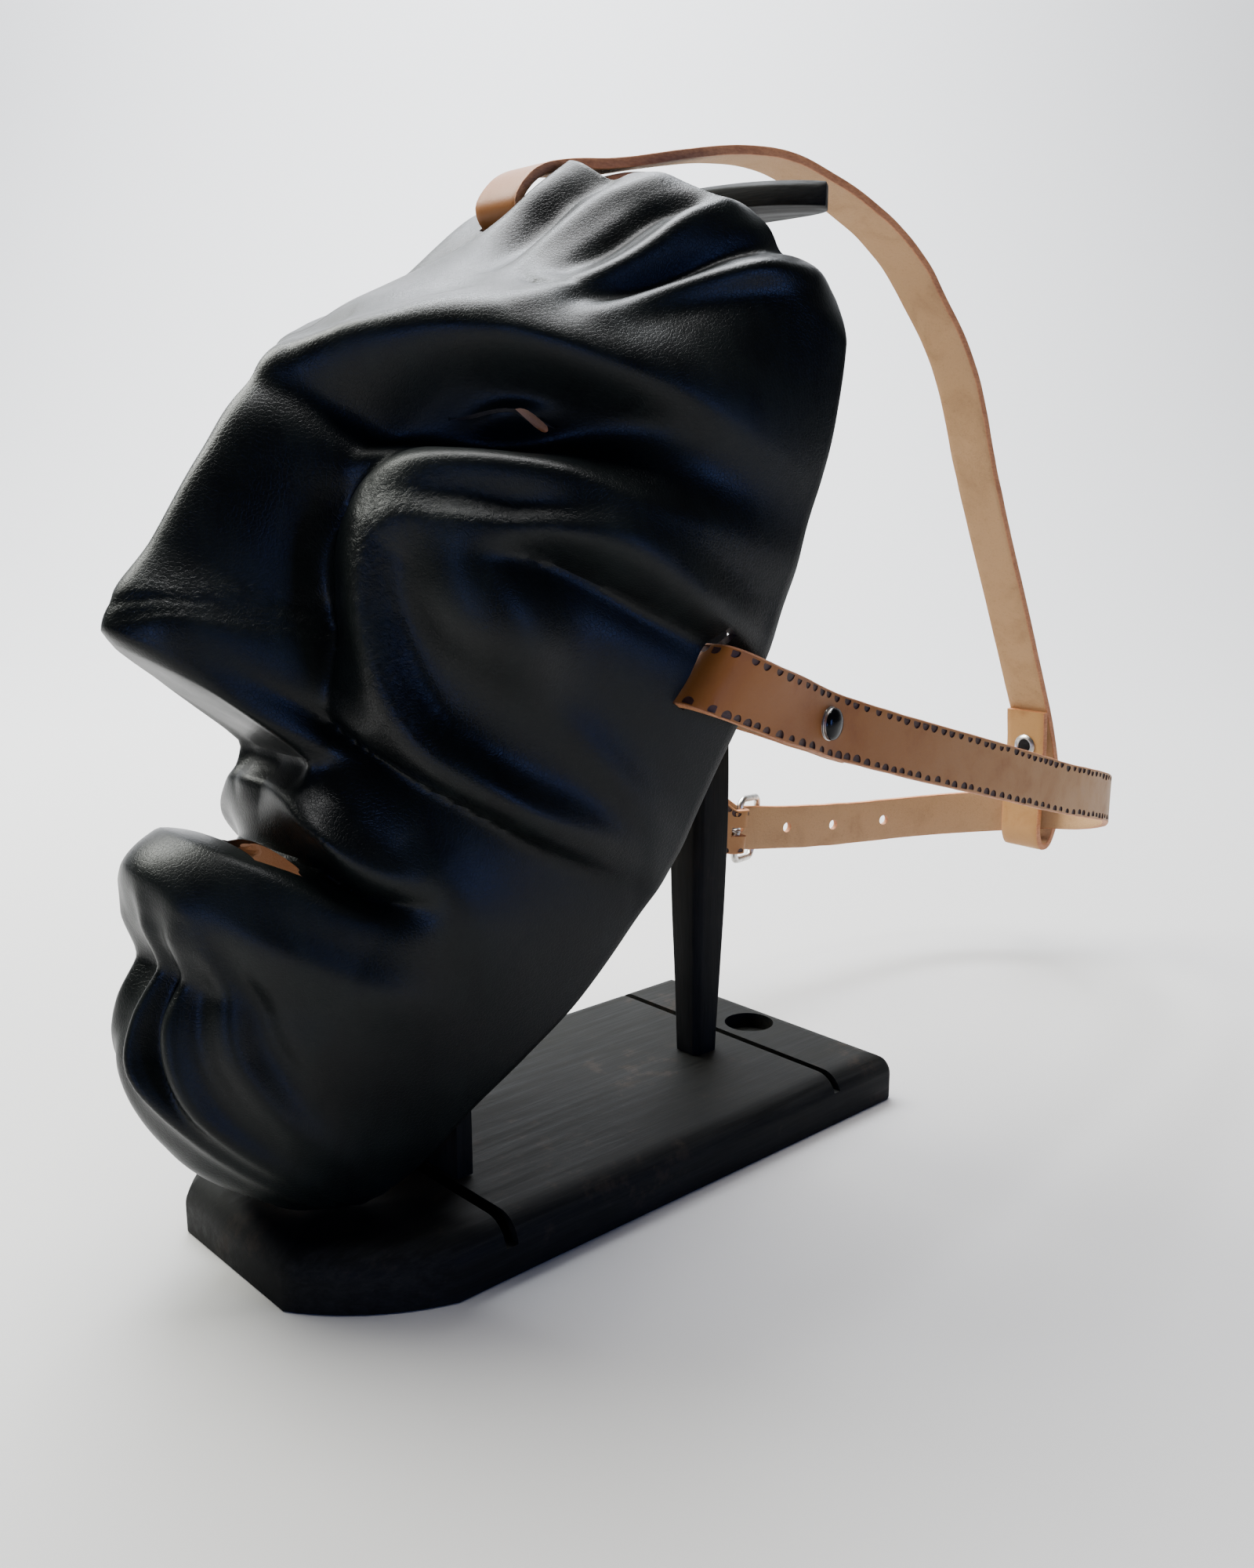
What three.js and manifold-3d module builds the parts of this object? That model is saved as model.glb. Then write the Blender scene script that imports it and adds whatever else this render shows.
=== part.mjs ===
// A carnival mask of moulded black leather with natural leather head straps, hung on its black
// wooden stand. Millimetres, +Z up. The face looks along -Y. The origin is the middle of the
// board's underside.
import * as THREE from 'three';
import { mergeVertices } from 'three/addons/utils/BufferGeometryUtils.js';
import Module from 'manifold-3d';

const wasm = await Module();
wasm.setup();

// Driving dimensions of the stand
const BOARD = {
  width: 118, length: 238, thick: 18, topRound: 8.5,
  clipStart: 80, clipHalf: 29, clipBulge: 4,
};
const FRONT_SAW_CUT = { y: -61, width: 4.5, depth: 8 };
const REAR_SAW_CUT = { y: 86.7, width: 3, depth: 6 };
const RECESS = { x: 2, y: 101.5, radius: 9.5, depth: 6 };
const POST = { x: 6.5, y: 67.5, footSize: 12, swellSize: 17.6, swellZ: 118, neckSize: 15, topZ: 308.9 };
const ARM = {
  x: 6.5, frontY: 51.5, frontHalf: 60, rearHalf: 55.6, depth: 32, tipBack: 5.5, taper: 0.93,
  lowZ: 309.2, lowDrop: 3.6, topZ: 317.4, topDrop: 4.6, corner: 2,
};
const CHIN_REST = { y: -55.4, halfWidth: 29, thick: 6, height: 48 };
const GAP = 0.3;

// Driving dimensions of the mask, in its own frame: t runs up the face from the chin, d stands
// out of the face, and x runs across it. The frame leans back on the stand.
const LEAN = THREE.MathUtils.degToRad(55.6);
const CHIN = { y: -111, z: 19 };
const WALL = 2.8;
const COLUMNS = 34;
const MIDDLE_CROWDING = 1.3;

// Cross sections from the chin to the brow: place v, middle line t and d, rim x, t and d, and
// how square the section is (2 is an ellipse)
const SECTIONS = [
  [0.00, 2, 0, 16, 8, -14, 2.0],
  [0.04, 3, 20, 24, 17, -22, 2.1],
  [0.09, 9, 37, 30, 31, -27, 2.2],
  [0.15, 26, 51, 37, 50, -29, 2.3],
  [0.22, 48, 57, 47, 72, -31, 2.3],
  [0.29, 70, 60, 56, 93, -32, 2.3],
  [0.37, 97, 59, 64, 120, -32, 2.3],
  [0.45, 124, 70, 71, 145, -29, 2.3],
  [0.53, 150, 82, 77, 168, -23, 2.3],
  [0.61, 176, 96, 82, 192, -18, 2.3],
  [0.69, 203, 103, 84, 218, -12, 2.3],
  [0.77, 230, 98, 86, 246, -4, 2.25],
  [0.85, 256, 88, 87, 270, 3, 2.2],
  [0.93, 287, 76, 86, 290, 10, 2.15],
  [0.97, 304, 71, 81, 301, 16, 2.0],
  [1.00, 317, 67, 73, 308, 21, 1.85],
];
// Rows of the wall up the face: crowded over the chin's folds, and most over the mouth and nose
const ROW_BANDS = [
  { upTo: 0.27, rows: 11 },
  { upTo: 0.48, rows: 14 },
  { upTo: 1, rows: 12 },
];

// Folds of the leather: points of q (round the face from the middle line), t, the width on the
// left and on the right of the way along, and the height
const BROW = [
  [8, 208, 12, 6, 4], [18, 213.5, 15, 6, 7.5], [27, 221, 17, 6, 9], [37, 228.5, 19, 6, 9.5],
  [49, 234, 20, 6, 10], [61, 237, 22, 6, 9.5], [73, 239, 22, 6.5, 9], [89, 243, 22, 7.5, 8],
  [107, 246.5, 20, 9, 6], [126, 250, 18, 11, 3.5], [148, 254, 16, 12, 1],
];
const FACE_FOLDS = {
  lowerLid: [
    [34, 188, 6, 12, 3], [42, 193, 6, 12, 5.5], [53, 198, 6, 13, 7.5], [67, 204, 6, 14, 8.5],
    [80, 208, 7, 14, 8.5], [95, 210, 7, 15, 7.5], [111, 214, 8, 14, 6], [135, 222, 9, 12, 3], [160, 228, 10, 10, 1],
  ],
  bag: [
    [46, 180, 6, 8, 2], [60, 186, 6, 7, 3.5], [73, 190, 6, 6, 4.5], [84, 194.5, 6, 6, 5],
    [106, 200, 8, 6, 6], [125, 201, 9, 6, 6], [142, 203, 9, 7, 4], [158, 206, 9, 8, 1],
  ],
  cheekCrease: [
    [68, 181, 5, 6, -1], [79, 186, 5, 6, -3], [95, 189.5, 5, 7, -4.5], [114, 191, 5, 8, -4.5],
    [135, 194, 5, 8, -3], [150, 196, 6, 8, -1],
  ],
  noseCrease: [
    [42, 204, 5, 5, -1], [32, 194, 5, 5, -4], [26, 187, 5, 6, -5.5], [20, 175, 5, 6, -6],
    [18.5, 163, 5, 6, -6], [20, 153, 5, 6, -5.5], [23, 144, 5, 6, -5], [24, 133, 5, 5, -4], [25, 125, 5, 5, -3],
  ],
  cheekFold: [
    [46, 184, 8, 8, 3], [38, 174, 8, 8, 6.5], [38, 162, 8, 9, 8.5], [41, 151, 8, 10, 9],
    [46, 141, 8, 11, 9], [58, 133, 7, 12, 8], [83, 131, 7, 12, 6.5], [102, 133, 8, 11, 4.5], [125, 136, 9, 11, 2],
  ],
  smileCrease: [
    [22, 127, 5, 5, -4], [38, 124, 5, 6, -6], [52, 123, 5, 7, -6.5], [68, 123, 5, 8, -6],
    [86, 123, 5, 9, -5], [104, 124.5, 6, 9, -3.5], [122, 128, 6, 9, -2],
  ],
  foreheadCrest: [
    [63, 306, 6, 6, 4], [61, 290, 6, 6, 5.5], [58, 268, 6, 6, 5], [53, 251, 6, 6, 3], [48, 240, 6, 6, 1],
  ],
  foreheadValleyInner: [[18, 314, 7, 7, -4], [14, 300, 6, 6, -4], [15, 284, 6, 6, -3.5], [20, 266, 6, 6, -2]],
  foreheadCrestInner: [[38, 310, 6, 6, 3], [32, 296, 6, 6, 3.5], [30, 280, 6, 6, 3], [28, 262, 7, 7, 1.5]],
  foreheadValleyMiddle: [[54, 306, 5, 5, -3.5], [48, 298, 5, 5, -4], [46, 284, 5, 5, -4], [44, 268, 5, 5, -2]],
  foreheadValleyOuter: [[82, 309, 6, 6, -4], [73, 290, 5, 5, -4.5], [66, 270, 5, 5, -4], [59, 253, 5, 5, -1.5]],
  foreheadCrestOuter: [[96, 300, 6, 6, 2], [84, 287, 6, 6, 4], [74, 270, 6, 6, 3.5], [66, 252, 6, 6, 2]],
  foreheadHollow: [[14, 290, 9, 9, -1], [26, 261, 9, 9, -2.5], [22, 240, 9, 9, -2.5], [8, 224, 8, 8, -2]],
  upperLip: [[0, 110, 6, 8, 0], [16, 106, 6, 7, 5], [29, 101, 6, 6, 8], [40, 95, 7, 5, 6], [52, 91, 8, 5, 3]],
  mouthLine: [[0, 94, 5, 3, -5], [27, 93, 5, 3, -7], [40, 92, 5, 4, -8], [52, 92, 5, 4, -6], [60, 94, 6, 5, -2]],
};
const CHIN_FOLDS = {
  crest: [
    [17, 66, 5, 4, 1], [14, 57, 4, 5, 3.5], [12.5, 48, 4, 5, 5], [14, 39, 4, 5, 5.5], [17, 30, 4, 5, 5.5],
    [21, 23, 4, 5, 5], [26, 19, 4, 5, 4], [34, 16, 4, 5, 3], [44, 15, 5, 5, 1],
  ],
  sideCrest: [
    [20, 66, 5, 6, 1], [23, 56, 5, 7, 3], [26, 47, 5, 7, 4.5], [28.5, 40, 5, 7, 4.5], [34, 34, 5, 7, 4],
    [42, 28, 5, 7, 3], [54, 24, 6, 7, 1],
  ],
  sideValley: [[28, 60, 5, 5, -1], [32, 50, 5, 5, -2.5], [38, 43, 5, 5, -2.5], [50, 36, 6, 6, -1]],
  jawCrest: [[28, 67, 5, 7, 1], [42, 69, 5, 8, 2.5], [58, 70, 6, 9, 2.5], [76, 72, 8, 10, 1]],
};
// These folds are on one side of the chin only
const CHIN_MIDDLE_FOLDS = {
  nearCrest: [
    [5, 64, 3.5, 4, 1.5], [4.5, 54, 3.5, 4, 4.5], [4, 46, 3.5, 4, 5.5], [4, 38, 3.5, 4, 5.5],
    [4.5, 30, 3.5, 4, 5.5], [7, 25, 3.5, 4, 5.5], [11, 21.5, 3.5, 4, 5], [16, 18, 3.5, 4, 4.5],
    [24, 13.5, 3.5, 4, 3], [32, 10.5, 4, 4, 1.5],
  ],
  nearValley: [
    [9, 60, 3, 3, -1], [8, 50, 3, 3, -3], [7.5, 40, 3, 3, -4], [9, 31, 3, 3, -4], [13, 24, 3, 3, -4],
    [18, 18.5, 3, 3, -3.5], [26, 14, 3, 3, -2.5], [36, 11, 4, 4, -1],
  ],
  farCrest: [
    [-8, 62, 4, 5, 0.5], [-10, 50, 5, 5, 0.5], [-11, 38, 5, 5, 0.4], [-9, 27, 5, 5, 2], [-5, 17, 5, 5, 2],
    [3, 9, 5, 5, 1.2], [14, 5, 5, 5, 0.6],
  ],
  farLip: [[-16, 108, 6, 6, -3], [-29, 102, 6, 6, -5.5], [-40, 96, 6, 6, -4], [-52, 92, 6, 6, -2]],
};
const FAR_BROW_SHARE = 0.7;
const FAR_CHIN_SHARE = 0.9;

// Round swellings and hollows: q, t, reach along and across, height, turn and how flat
const SWELLINGS = {
  eyeSocket: { q: 56, t: 217, along: 36, across: 11, height: -18, turn: 17, flat: 1.4 },
  innerSocket: { q: 22, t: 204, along: 14, across: 10, height: -6, turn: 0, flat: 1 },
  eyelid: { q: 58, t: 222, along: 14, across: 5, height: 7, turn: 20, flat: 1 },
  cheek: { q: 70, t: 171, along: 20, across: 15, height: 10, turn: 0, flat: 1.3 },
  jawHollow: { q: 105, t: 155, along: 30, across: 25, height: -3, turn: 0, flat: 1 },
  jawRidge: { q: 112, t: 150, along: 26, across: 7, height: 2.5, turn: -12, flat: 1 },
};
const NOSE = {
  widthAt: [[110, 22], [121, 23], [135, 24], [150, 22], [176, 20], [203, 22], [222, 34], [245, 52], [275, 60], [305, 60]],
  heightAt: [
    [112, 0], [119, 0], [121.4, 53], [124, 53], [150, 41], [176, 27], [203, 18], [225, 13],
    [250, 8], [280, 2], [305, 0],
  ],
  widthScale: 1.08, roundness: 1.5,
  wingHeightAt: [[112, 0], [118, 0], [122, 10], [132, 14], [142, 6], [150, 0]],
  wingQ: 17, wingReach: 8,
};
const LOWER_LIP = {
  widthAt: [[40, 36], [55, 44], [70, 52], [88, 55], [95, 50]],
  heightAt: [[8, 0], [26, 7], [38, 6.5], [51.5, 4], [61, 16], [73, 25], [85, 20.5], [88.5, 12], [91, 0]],
  roundness: 1.4,
};
const UPPER_LIP = {
  heightAt: [[90, 0], [95, 1], [101, 0], [108, 0], [113, -4], [117, -6], [119.5, -6], [123, 0]],
  reach: 26,
};

// Openings cut through the mask's wall: middle, half length and half height, turn, and depth range
const MOUTH = { t: 90.5, half: 28, height: 3.8, from: 14, to: 66 };
const EYE = { x: 43.5, t: 220, half: 12.5, height: 1, turn: 24, from: 30, to: 110 };
const SIDE_SLIT = { t: 188, d: 2.2, half: 12.5, width: 4.6, reach: 30 };
const BROW_SLIT = { x: -10, t: 297.4, half: 11.2, height: 3.9, from: 40, to: 110 };

// Leather straps. The first points of a route are the tail inside the mask; it then turns out
// through its slit.
const STRAP = { width: 20, thick: 2.6 };
const HEAD_ROUTE = [
  [75.2, 65, 147.6], [75.2, 48, 153.6], [75, 30, 159.8], [74.4, 14, 165.4], [73.8, 3, 169.2],
  [73.6, -2.8, 171.3], [75.4, -7, 172.9], [79.6, -8.1, 173.4], [82.6, -8, 173.3], [86, -6.2, 172.6],
  [87.6, -1, 170.7], [87.6, 6, 168], [86.4, 18, 163.6], [83, 36, 157.4],
  [79.8, 52, 151.9], [79, 70, 146.4], [78, 100, 137.5], [76.4, 135, 127.6], [74.4, 170, 117.6],
  [71, 205, 107.6], [65.6, 238, 99.2], [56, 268, 91], [41, 290.5, 82], [21, 306, 74.4],
  [0, 311.5, 70], [-20, 304.5, 66.4], [-38, 288, 64.4], [-50, 266, 63.8], [-58.4, 238, 64.4],
  [-63.4, 210, 66.6], [-66.4, 188, 69.2], [-69.2, 168, 72], [-73, 150, 74.6], [-77.4, 132, 77.6],
];
const BUCKLE_ROUTE = [
  [-75.2, 60, 136.6], [-75.2, 44, 146], [-75, 28, 155], [-74.4, 14, 162.8], [-73.8, 4, 168],
  [-73.6, -2.8, 171.3], [-75.4, -7, 172.9], [-79.6, -8.1, 173.4], [-82.6, -8, 173.3], [-86, -6.2, 172.4],
  [-87.6, -1, 169.8], [-87.6, 6, 166.2], [-86.4, 18, 160], [-83, 36, 150], [-79.8, 52, 140.8],
  [-78.4, 72, 128.6], [-76.8, 92, 116], [-74.6, 112, 103.6], [-71.8, 130, 93], [-68.4, 146, 84.4],
];
const TOP_ROUTE = [
  [-10, 47, 321.6], [-10, 38, 320.2], [-10, 30, 317.9], [-10, 24.6, 315], [-10, 21, 311.9],
  [-10, 18.4, 308.6], [-10, 15.4, 305.6], [-10, 12, 303], [-10, 8.4, 301.4], [-10, 4.8, 301],
  [-10, 1.4, 301.5], [-10, -1.8, 302.6], [-10, -4.4, 304.6], [-10, -5.6, 308.2], [-10, -4.4, 310.9],
  [-10, -2.2, 313.6], [-10, 1.2, 316.6], [-10, 5.6, 318.9], [-9.9, 10.8, 320.4],
  [-9.8, 19.3, 322], [-9.6, 30.2, 323.4], [-9.4, 40.5, 325.3], [-9.2, 62.4, 330.3], [-9, 84.9, 334.8],
  [-8.8, 97.1, 336.3], [-8.6, 109.3, 337], [-8.4, 121.8, 336.2], [-8.2, 137.9, 332.8], [-8, 152, 329.2],
  [-7.8, 164, 324.9], [-7.6, 177, 319.5], [-7.5, 195.8, 308.1], [-7.3, 209.1, 295.4], [-7.1, 223, 281.3],
  [-7, 233.6, 266.5], [-6.9, 241.2, 251], [-6.8, 247.6, 235], [-6.6, 262.4, 203.6], [-6.4, 279.4, 170],
  [-6.2, 298, 132], [-6, 307.9, 111], [-6, 314.4, 93], [-6, 317, 82], [-6, 318, 70], [-6, 316.2, 59],
  [-6, 311.4, 52.6], [-6, 306, 52.4], [-6, 302.9, 57.6], [-6, 302.3, 68], [-6, 302.6, 84],
  [-6, 303.2, 101.6], [-6, 301.8, 118],
];
const TOP_THICK = 3.2;

const WALL_SLANT = 0.2;
const STRAP_STEP = 13;

// Buckle: the punched strap runs inside its rear bar, then outside its front one. The prong's
// points are along the strap from the hole, and out from the strap's middle.
const HOLE_PLACES = [170, 198, 226.5, 256];
const HOLE_RADIUS = 2.4;
const BUCKLE = { ahead: 3.2, halfLength: 10, halfHeight: 14, corner: 4, wire: 1.5, frontIn: 6.4, rearOut: 3.3 };
const BUCKLE_TAIL = 22;
const PRONG_RADIUS = 0.8;
const PRONG_POINTS = [[-0.9, -1.9], [0, 0], [1, 2], [4, 4.7], [8, 5.5], [12, 6], [14.4, 6]];
const SNAP = { radius: 5, ring: 6.2, dome: 3, base: 1.1, sides: 12, lift: 0.5 };
const NEAR_SNAP_Y = 47;
const FAR_SNAP_Y = 42;
const REAR_SNAP_Z = 101;

const COLOURS = {
  blackLeather: { color: 0x14171a, roughness: 0.42, metalness: 0 },
  tanLeather: { color: 0xb98a62, roughness: 0.62, metalness: 0 },
  blackWood: { color: 0x1b1917, roughness: 0.7, metalness: 0 },
  silver: { color: 0xb9b9b6, roughness: 0.3, metalness: 1 },
  blackCap: { color: 0x0b0d0f, roughness: 0.2, metalness: 0.3 },
};

// Interpolation and small maths

// A smooth curve through values that never swings past them
function smoothCurve(places, values) {
  const count = places.length;
  const slopes = [];
  for (let i = 0; i < count - 1; i += 1) {
    slopes.push((values[i + 1] - values[i]) / (places[i + 1] - places[i]));
  }
  const tangents = values.map((_, i) => {
    if (i === 0) return slopes[0];
    if (i === count - 1) return slopes[count - 2];
    if (slopes[i - 1] * slopes[i] <= 0) return 0;
    return (2 * slopes[i - 1] * slopes[i]) / (slopes[i - 1] + slopes[i]);
  });
  return (place) => {
    const clamped = Math.min(Math.max(place, places[0]), places[count - 1]);
    let i = 0;
    while (i < count - 2 && clamped > places[i + 1]) i += 1;
    const span = places[i + 1] - places[i];
    const u = (clamped - places[i]) / span;
    const u2 = u * u;
    const u3 = u2 * u;
    return (2 * u3 - 3 * u2 + 1) * values[i] + (u3 - 2 * u2 + u) * span * tangents[i]
      + (3 * u2 - 2 * u3) * values[i + 1] + (u3 - u2) * span * tangents[i + 1];
  };
}

const curveOf = (pairs) => smoothCurve(pairs.map((p) => p[0]), pairs.map((p) => p[1]));

// A smooth curve through rows of numbers, measured along their first columns
function rowCurve(rows, spacingColumns) {
  const along = [0];
  for (let i = 1; i < rows.length; i += 1) {
    let sum = 0;
    for (let c = 0; c < spacingColumns; c += 1) sum += (rows[i][c] - rows[i - 1][c]) ** 2;
    along.push(along[i - 1] + Math.sqrt(sum));
  }
  const columns = rows[0].map((_, c) => smoothCurve(along, rows.map((row) => row[c])));
  return { along, at: (place) => columns.map((f) => f(place)) };
}

// Points set evenly along such a curve
function smoothRows(rows, count, spacingColumns) {
  const { along, at } = rowCurve(rows, spacingColumns);
  const total = along[along.length - 1];
  return Array.from({ length: count + 1 }, (_, i) => at((total * i) / count));
}

// Points at a route's own points, and between them where they are further apart than the spacing
function routePoints(route, spacing) {
  const { along, at } = rowCurve(route, 3);
  const points = [at(0)];
  for (let i = 1; i < along.length; i += 1) {
    const length = along[i] - along[i - 1];
    const steps = Math.ceil(length / spacing);
    for (let k = 1; k <= steps; k += 1) points.push(at(along[i - 1] + (length * k) / steps));
  }
  return points.map((p) => new THREE.Vector3(...p));
}

// Solids

function geometryOf(positions, triangles) {
  const geometry = new THREE.BufferGeometry();
  geometry.setAttribute('position', new THREE.Float32BufferAttribute(positions, 3));
  geometry.setIndex(triangles);
  return geometry;
}

function toSolid(geometry) {
  const plain = geometry.clone();
  plain.deleteAttribute('normal');
  plain.deleteAttribute('uv');
  const merged = mergeVertices(plain, 1e-4);
  return new wasm.Manifold(new wasm.Mesh({
    numProp: 3,
    vertProperties: new Float32Array(merged.attributes.position.array),
    triVerts: new Uint32Array(merged.index.array),
  }));
}

function fromSolid(solid) {
  const mesh = solid.getMesh();
  return geometryOf(Array.from(mesh.vertProperties), Array.from(mesh.triVerts));
}

function cutAll(geometry, cutters) {
  return fromSolid(cutters.reduce((solid, cutter) => solid.subtract(toSolid(cutter)), toSolid(geometry)));
}

// A closed solid through rings of equally many points, capped at both ends
function loft(rings) {
  const positions = [];
  const triangles = [];
  const size = rings[0].length;
  rings.forEach((ring) => ring.forEach((p) => positions.push(p[0], p[1], p[2])));
  for (let r = 0; r < rings.length - 1; r += 1) {
    for (let i = 0; i < size; i += 1) {
      const a = r * size + i;
      const b = r * size + ((i + 1) % size);
      triangles.push(a, b, b + size, a, b + size, a + size);
    }
  }
  [0, rings.length - 1].forEach((r) => {
    const flat = THREE.ShapeUtils.triangulateShape(rings[r].map((p) => flatten(rings[r], p)), []);
    flat.forEach(([a, b, c]) => {
      if (r === 0) triangles.push(c, b, a);
      else triangles.push(r * size + a, r * size + b, r * size + c);
    });
  });
  return geometryOf(positions, triangles);
}

// A ring's point in the ring's own plane, so that its cap can be filled
function flatten(ring, point) {
  const at = (p) => new THREE.Vector3(p[0], p[1], p[2]);
  const normal = new THREE.Vector3();
  ring.forEach((p, i) => normal.add(at(p).cross(at(ring[(i + 1) % ring.length]))));
  normal.normalize();
  const side = Math.abs(normal.z) > 0.8 ? new THREE.Vector3(1, 0, 0) : new THREE.Vector3(0, 0, 1);
  const first = side.clone().cross(normal).normalize();
  const second = normal.clone().cross(first);
  return new THREE.Vector2(at(point).dot(first), at(point).dot(second));
}

// Frames along a route: point, way, the direction of the strap's width and the way out of its face.
// widthAt gives the wanted direction of the width at a point.
function routeFrames(route, spacing, widthAt) {
  const points = routePoints(route, spacing);
  return points.map((point, i) => {
    const before = points[Math.max(i - 1, 0)];
    const after = points[Math.min(i + 1, points.length - 1)];
    const way = after.clone().sub(before).normalize();
    const across = widthAt(point);
    across.addScaledVector(way, -across.dot(way)).normalize();
    return { point, way, across, out: way.clone().cross(across) };
  });
}

// A flat strap along a route
function ribbon(route, spacing, widthAt, thick = STRAP.thick) {
  const { width } = STRAP;
  const rings = routeFrames(route, spacing, widthAt).map(({ point, across, out }) => (
    [[-1, -1], [1, -1], [1, 1], [-1, 1]].map(([w, h]) => point.clone()
      .addScaledVector(across, (w * width) / 2)
      .addScaledVector(out, (h * thick) / 2)
      .toArray())
  ));
  return loft(rings);
}

// The frame of a finely divided route whose point is nearest to a wanted value
function frameWhere(route, widthAt, wanted, valueOf) {
  return routeFrames(route, 0.8, widthAt)
    .reduce((best, f) => (Math.abs(valueOf(f.point) - wanted) < Math.abs(valueOf(best.point) - wanted) ? f : best));
}

// The mask's surface

const UP_FACE = new THREE.Vector2(Math.cos(LEAN), Math.sin(LEAN));
const OUT_FACE = new THREE.Vector2(-Math.sin(LEAN), Math.cos(LEAN));

// From the mask's own frame to the part's frame
function place(x, t, d) {
  return [x, CHIN.y + t * UP_FACE.x + d * OUT_FACE.x, CHIN.z + t * UP_FACE.y + d * OUT_FACE.y];
}

const SECTION_CURVES = [1, 2, 3, 4, 5, 6]
  .map((c) => smoothCurve(SECTIONS.map((row) => row[0]), SECTIONS.map((row) => row[c])));

// The smooth face without its features, at s across (-1 to 1) and v up the face (0 to 1)
function plainFace(s, v) {
  const [midT, midD, rimX, rimT, rimD, square] = SECTION_CURVES.map((f) => f(v));
  const angle = Math.min(Math.abs(s), 1) * (Math.PI / 2);
  const power = 2 / square;
  const across = Math.sign(s) * rimX * Math.sin(angle) ** power;
  const back = 1 - Math.max(Math.cos(angle), 0) ** power;
  return new THREE.Vector3(across, midT + (rimT - midT) * back, midD + (rimD - midD) * back);
}

function plainNormal(s, v) {
  const e = 0.01;
  const sideways = plainFace(Math.min(s + e, 1), v).sub(plainFace(Math.max(s - e, -1), v));
  const upwards = plainFace(s, Math.min(v + e, 1)).sub(plainFace(s, Math.max(v - e, 0)));
  return sideways.cross(upwards).normalize();
}

// Height of a fold at q, t
function foldHeight(path, q, t) {
  let nearest = Infinity;
  let height = 0;
  for (let i = 0; i < path.length - 1; i += 1) {
    const a = path[i];
    const b = path[i + 1];
    const length = Math.hypot(b[0] - a[0], b[1] - a[1]);
    const wayQ = (b[0] - a[0]) / length;
    const wayT = (b[1] - a[1]) / length;
    const u = Math.min(Math.max(((q - a[0]) * wayQ + (t - a[1]) * wayT) / length, 0), 1);
    const offQ = q - a[0] - u * length * wayQ;
    const offT = t - a[1] - u * length * wayT;
    const off = Math.hypot(offQ, offT);
    if (off < nearest) {
      nearest = off;
      const side = 0.5 + (0.5 * (wayQ * offT - wayT * offQ)) / (off + 1e-6);
      const left = side * side * (3 - 2 * side);
      const width = (a[3] + (b[3] - a[3]) * u) * (1 - left) + (a[2] + (b[2] - a[2]) * u) * left;
      height = (a[4] + (b[4] - a[4]) * u) * Math.exp(-((off / width) ** 2));
    }
  }
  return height;
}

function swellingHeight({ q: q0, t: t0, along, across, height, turn, flat }, q, t) {
  const angle = THREE.MathUtils.degToRad(turn);
  const a = ((q - q0) * Math.cos(angle) + (t - t0) * Math.sin(angle)) / along;
  const b = (-(q - q0) * Math.sin(angle) + (t - t0) * Math.cos(angle)) / across;
  return height * Math.exp(-((a * a + b * b) ** flat));
}

const FOLD_STEPS = 23;
const smoothPath = (rows) => smoothRows(rows, FOLD_STEPS, 2);
const BROW_PATH = smoothPath(BROW);
const FACE_PATHS = Object.values(FACE_FOLDS).map(smoothPath);
const CHIN_PATHS = Object.values(CHIN_FOLDS).map(smoothPath);
const CHIN_MIDDLE_PATHS = Object.values(CHIN_MIDDLE_FOLDS).map(smoothPath);
const NOSE_WIDTH = curveOf(NOSE.widthAt);
const NOSE_HEIGHT = curveOf(NOSE.heightAt);
const WING_HEIGHT = curveOf(NOSE.wingHeightAt);
const LIP_WIDTH = curveOf(LOWER_LIP.widthAt);
const LIP_HEIGHT = curveOf(LOWER_LIP.heightAt);
const UPPER_LIP_HEIGHT = curveOf(UPPER_LIP.heightAt);

// How far the folds stand off the plain face
function reliefHeight(q, t) {
  const side = Math.abs(q);
  let height = foldHeight(BROW_PATH, side, t) * (q < 0 ? FAR_BROW_SHARE : 1);
  FACE_PATHS.forEach((path) => { height += foldHeight(path, side, t); });
  Object.values(SWELLINGS).forEach((swelling) => { height += swellingHeight(swelling, side, t); });
  CHIN_MIDDLE_PATHS.forEach((path) => { height += foldHeight(path, q, t); });
  CHIN_PATHS.forEach((path) => {
    height += foldHeight(path, q, t) + FAR_CHIN_SHARE * foldHeight(path, -q, t);
  });
  return height;
}

// How far the nose and the lips stand straight out
function profileHeight(q, t) {
  const side = Math.abs(q);
  const hump = (width, power) => Math.max(1 - (side / width) ** 2, 0) ** power;
  const nose = NOSE_HEIGHT(t) * hump(NOSE_WIDTH(t) * NOSE.widthScale, NOSE.roundness);
  const wing = WING_HEIGHT(t) * Math.exp(-(((side - NOSE.wingQ) / NOSE.wingReach) ** 2));
  const lip = LIP_HEIGHT(t) * hump(LIP_WIDTH(t), LOWER_LIP.roundness);
  const upper = UPPER_LIP_HEIGHT(t) * Math.exp(-((side / UPPER_LIP.reach) ** 2));
  return nose + wing + lip + upper;
}

// Places of the rows up the face
function rowPlaces() {
  const places = [0];
  let from = 0;
  ROW_BANDS.forEach(({ upTo, rows }) => {
    for (let i = 1; i <= rows; i += 1) places.push(from + ((upTo - from) * i) / rows);
    from = upTo;
  });
  return places;
}

// Places round a section, from the far rim to the near one, crowded in the middle
function columnPlaces(count) {
  return Array.from({ length: count + 1 }, (_, i) => {
    const even = (2 * i) / count - 1;
    return Math.sign(even) * Math.abs(even) ** MIDDLE_CROWDING;
  });
}

const SECTION_STEPS = 120;

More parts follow.
